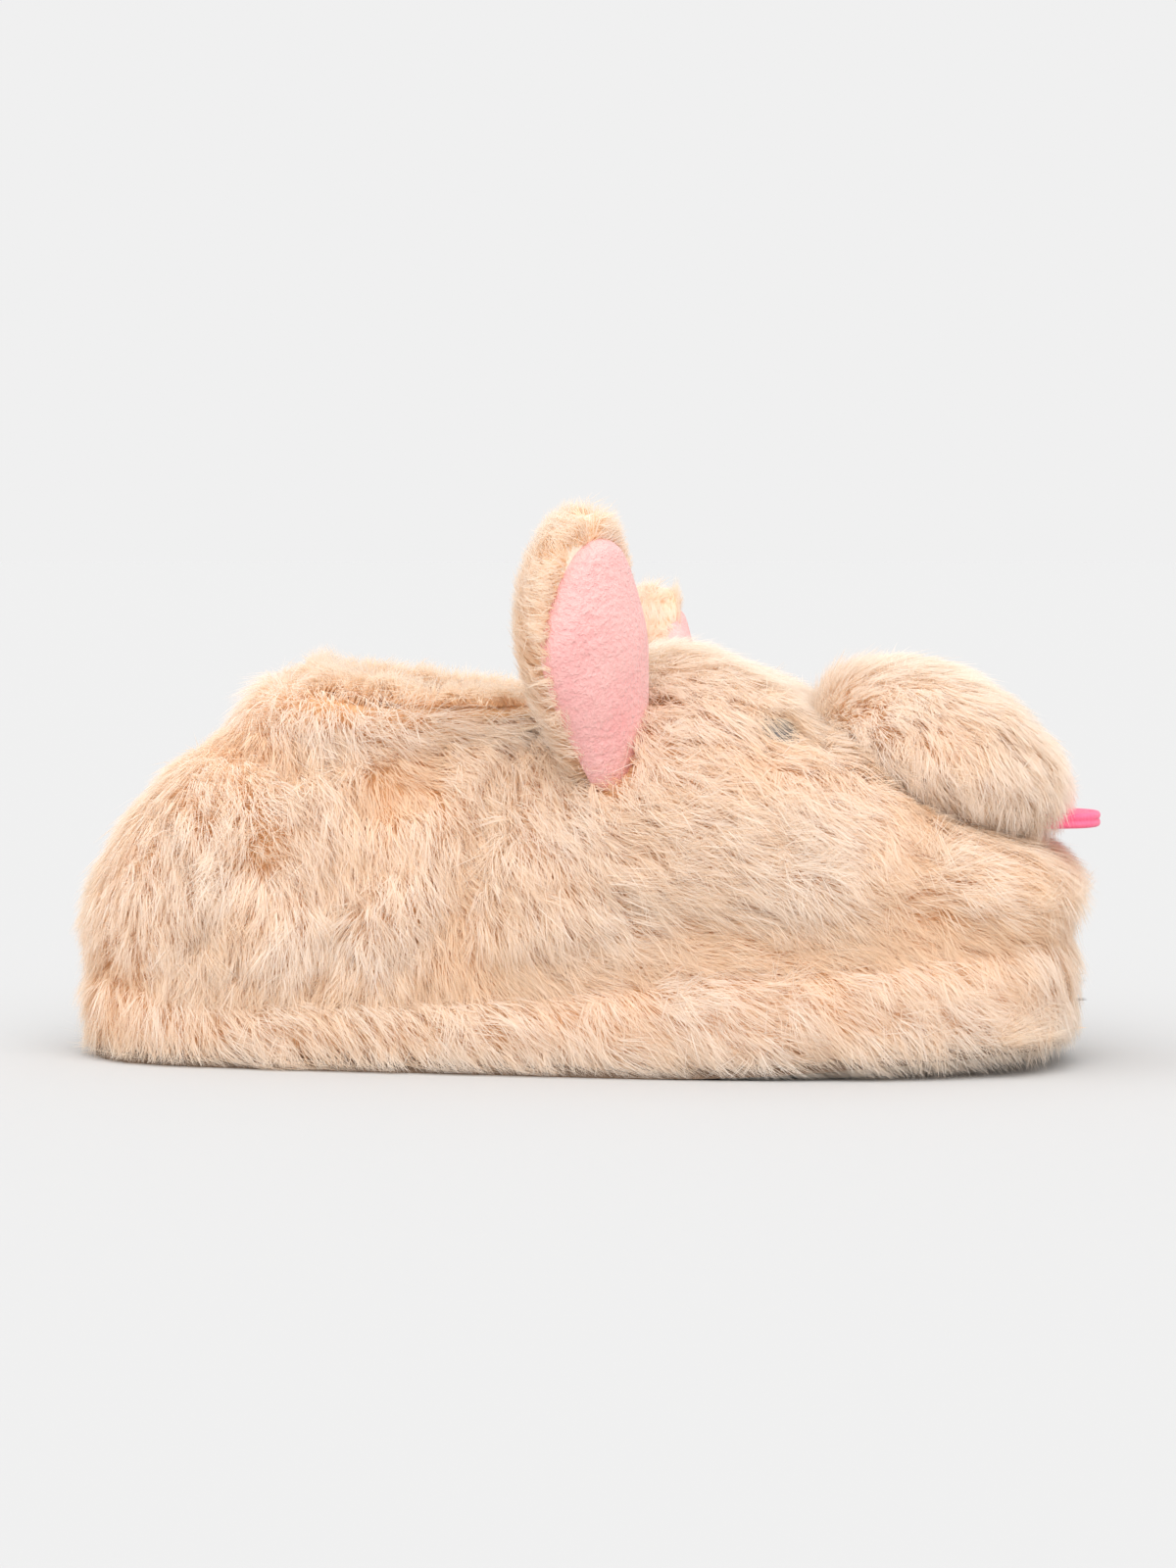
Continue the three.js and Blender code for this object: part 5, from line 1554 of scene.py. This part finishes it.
class SLIPPER_OT_ears(bpy.types.Operator):
    """Stuff the ears, line them with velour and cover their backs in pile"""

    bl_idname = "slipper.ears"
    bl_label = "Ears"

    def execute(self, context):
        for row, ear in ears():
            self.stuff(row, ear)
            self.line(row, ear)
        return {"FINISHED"}

    def stuff(self, row, ear):
        """The ear's fleece body and the pile on its back and rim, combed up and outwards. The
        pile is shorter before the lining, at the tip and on the rim beside the head."""
        name, side = row["name"], row["side"]
        depth, around = EAR_SINK * pile_height(), turns(72)
        rows = [ear.leaf(same(around, at), around, sink=depth) for at in np.linspace(0, 1, 49)]
        body = skin(f"ear_body_{name}", rows, fleece())
        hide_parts(f"ear_{name}")
        rng = np.random.default_rng(81 + side)

        def form(at, angle):
            return ear.leaf(at, angle, sink=depth)

        def weight(at, angle, point):
            return (np.sin(angle) < -0.12) | ear.beside_lining(at, angle)

        at, angle = scatter(form, (0.02, 0.99), (0, 2 * np.pi), number("ear"), rng, weight)
        point, out = frames(form, at, angle, ear.middle)
        away = point - ear.middle
        radial = unit(away - ear.up * dot(away, ear.up[None]))
        front = smooth(np.sin(angle), -0.1, 0.3)
        flow = ear.up * 0.75 + radial * (0.45 + front)[:, None] - ear.front * 0.2
        inner = smooth(np.cos(angle), 0.3, 0.8) * smooth(np.sin(angle), -0.7, -0.2)
        tip = smooth(at, 0.5, 0.85)
        rise = mix(1.0, 0.6, front) * mix(1.0, 0.75, tip) * mix(1.0, 0.35, inner)
        # the ears' pile gets less painted shade than the upper's, so it is painted paler
        lay, painted_shade = mix(1.0, 0.5, inner), -0.3
        grow(f"ear_pile_{name}", point, out, flow, "ear", 84 + side, plush(), lay, rise, painted_shade)

    def line(self, row, ear):
        """The velour lining: a puffed leaf with soft dents, and a curly nap along its outer half.
        It is drawn in towards the rim beside the head, where the velour wraps over."""
        sizes, around = ear.sizes, turns(110)
        raised = sizes.front_depth + sizes.lining + 0.3 * MM
        wrap = mix(0.5 * MM, 6 * MM, smooth(np.cos(around), 0.1, 0.7))
        front = np.clip(np.sin(around), 0, 1)
        outer = smooth(-np.cos(around), -0.2, 0.5)
        share, rows = sizes.lining_share, []
        for at in np.linspace(0, 1, 91):
            ring = ear.leaf(same(around, at), around, share, raised, wrap, arch=LINING_ARCH)
            ring = ring + ear.inward * 1.6 * MM
            dent = 0.5 * soft_noise(ring, 9 * MM, 13)
            nap = 0.34 * soft_noise(ring, 1.5 * MM, 14) * outer
            rows.append(ring + ear.front * ((dent + nap) * front * MM)[:, None])
        # painted shade: the deeper pink in the velour's dips
        deep, pink = colours().ear_hollow_shade, colours().ear_pink
        velour = cloth_material("ear velour", deep, pink, 800.0, 1.1 * MM, 0.5)
        made = skin(f"ear_velour_{row['name']}", rows, velour)
        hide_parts(f"ear_lining_{row['name']}")


class SLIPPER_PT_panel(bpy.types.Panel):
    """The slipper's sizes, colours and pieces"""

    bl_label = "Slipper"
    bl_idname = "SLIPPER_PT_panel"
    bl_space_type = "VIEW_3D"
    bl_region_type = "UI"
    bl_category = "Slipper"

    def draw(self, context):
        for group in PROPERTIES:
            box = self.layout.box()
            settings = getattr(context.scene, group)
            for name in settings.bl_rna.properties.keys():
                if name not in ("rna_type", "name"):
                    box.prop(settings, name)
        for operator in OPERATORS:
            self.layout.operator(operator.bl_idname)


PROPERTIES = {
    "slipper_sizes": SlipperSizes,
    "slipper_muzzle": MuzzleSizes,
    "slipper_ears": EarSizes,
    "slipper_pile": PileSizes,
    "slipper_colours": SlipperColours,
}
OPERATORS = (
    SLIPPER_OT_stage,
    SLIPPER_OT_outsole,
    SLIPPER_OT_sole,
    SLIPPER_OT_insole,
    SLIPPER_OT_upper,
    SLIPPER_OT_muzzle,
    SLIPPER_OT_nose,
    SLIPPER_OT_tongue,
    SLIPPER_OT_eyes,
    SLIPPER_OT_ears,
)
CLASSES = (*PROPERTIES.values(), *OPERATORS, SLIPPER_PT_panel)


def register():
    """Registers the classes and gives the scene its groups of sizes and colours."""
    for made in CLASSES:
        bpy.utils.register_class(made)
    for name, group in PROPERTIES.items():
        setattr(bpy.types.Scene, name, bpy.props.PointerProperty(type=group))


def unregister():
    """Undoes what register does."""
    for name in PROPERTIES:
        delattr(bpy.types.Scene, name)
    for made in reversed(CLASSES):
        bpy.utils.unregister_class(made)


def corners(box):
    """A box's two corners as plain lists."""
    return [list(corner) for corner in box]


def main():
    """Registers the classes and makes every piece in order."""
    register()
    bpy.ops.slipper.stage()
    bpy.ops.slipper.outsole()
    bpy.ops.slipper.sole()
    bpy.ops.slipper.insole()
    bpy.ops.slipper.upper()
    bpy.ops.slipper.muzzle()
    bpy.ops.slipper.nose()
    bpy.ops.slipper.tongue()
    bpy.ops.slipper.eyes()
    bpy.ops.slipper.ears()


if __name__ == "__main__":
    main()
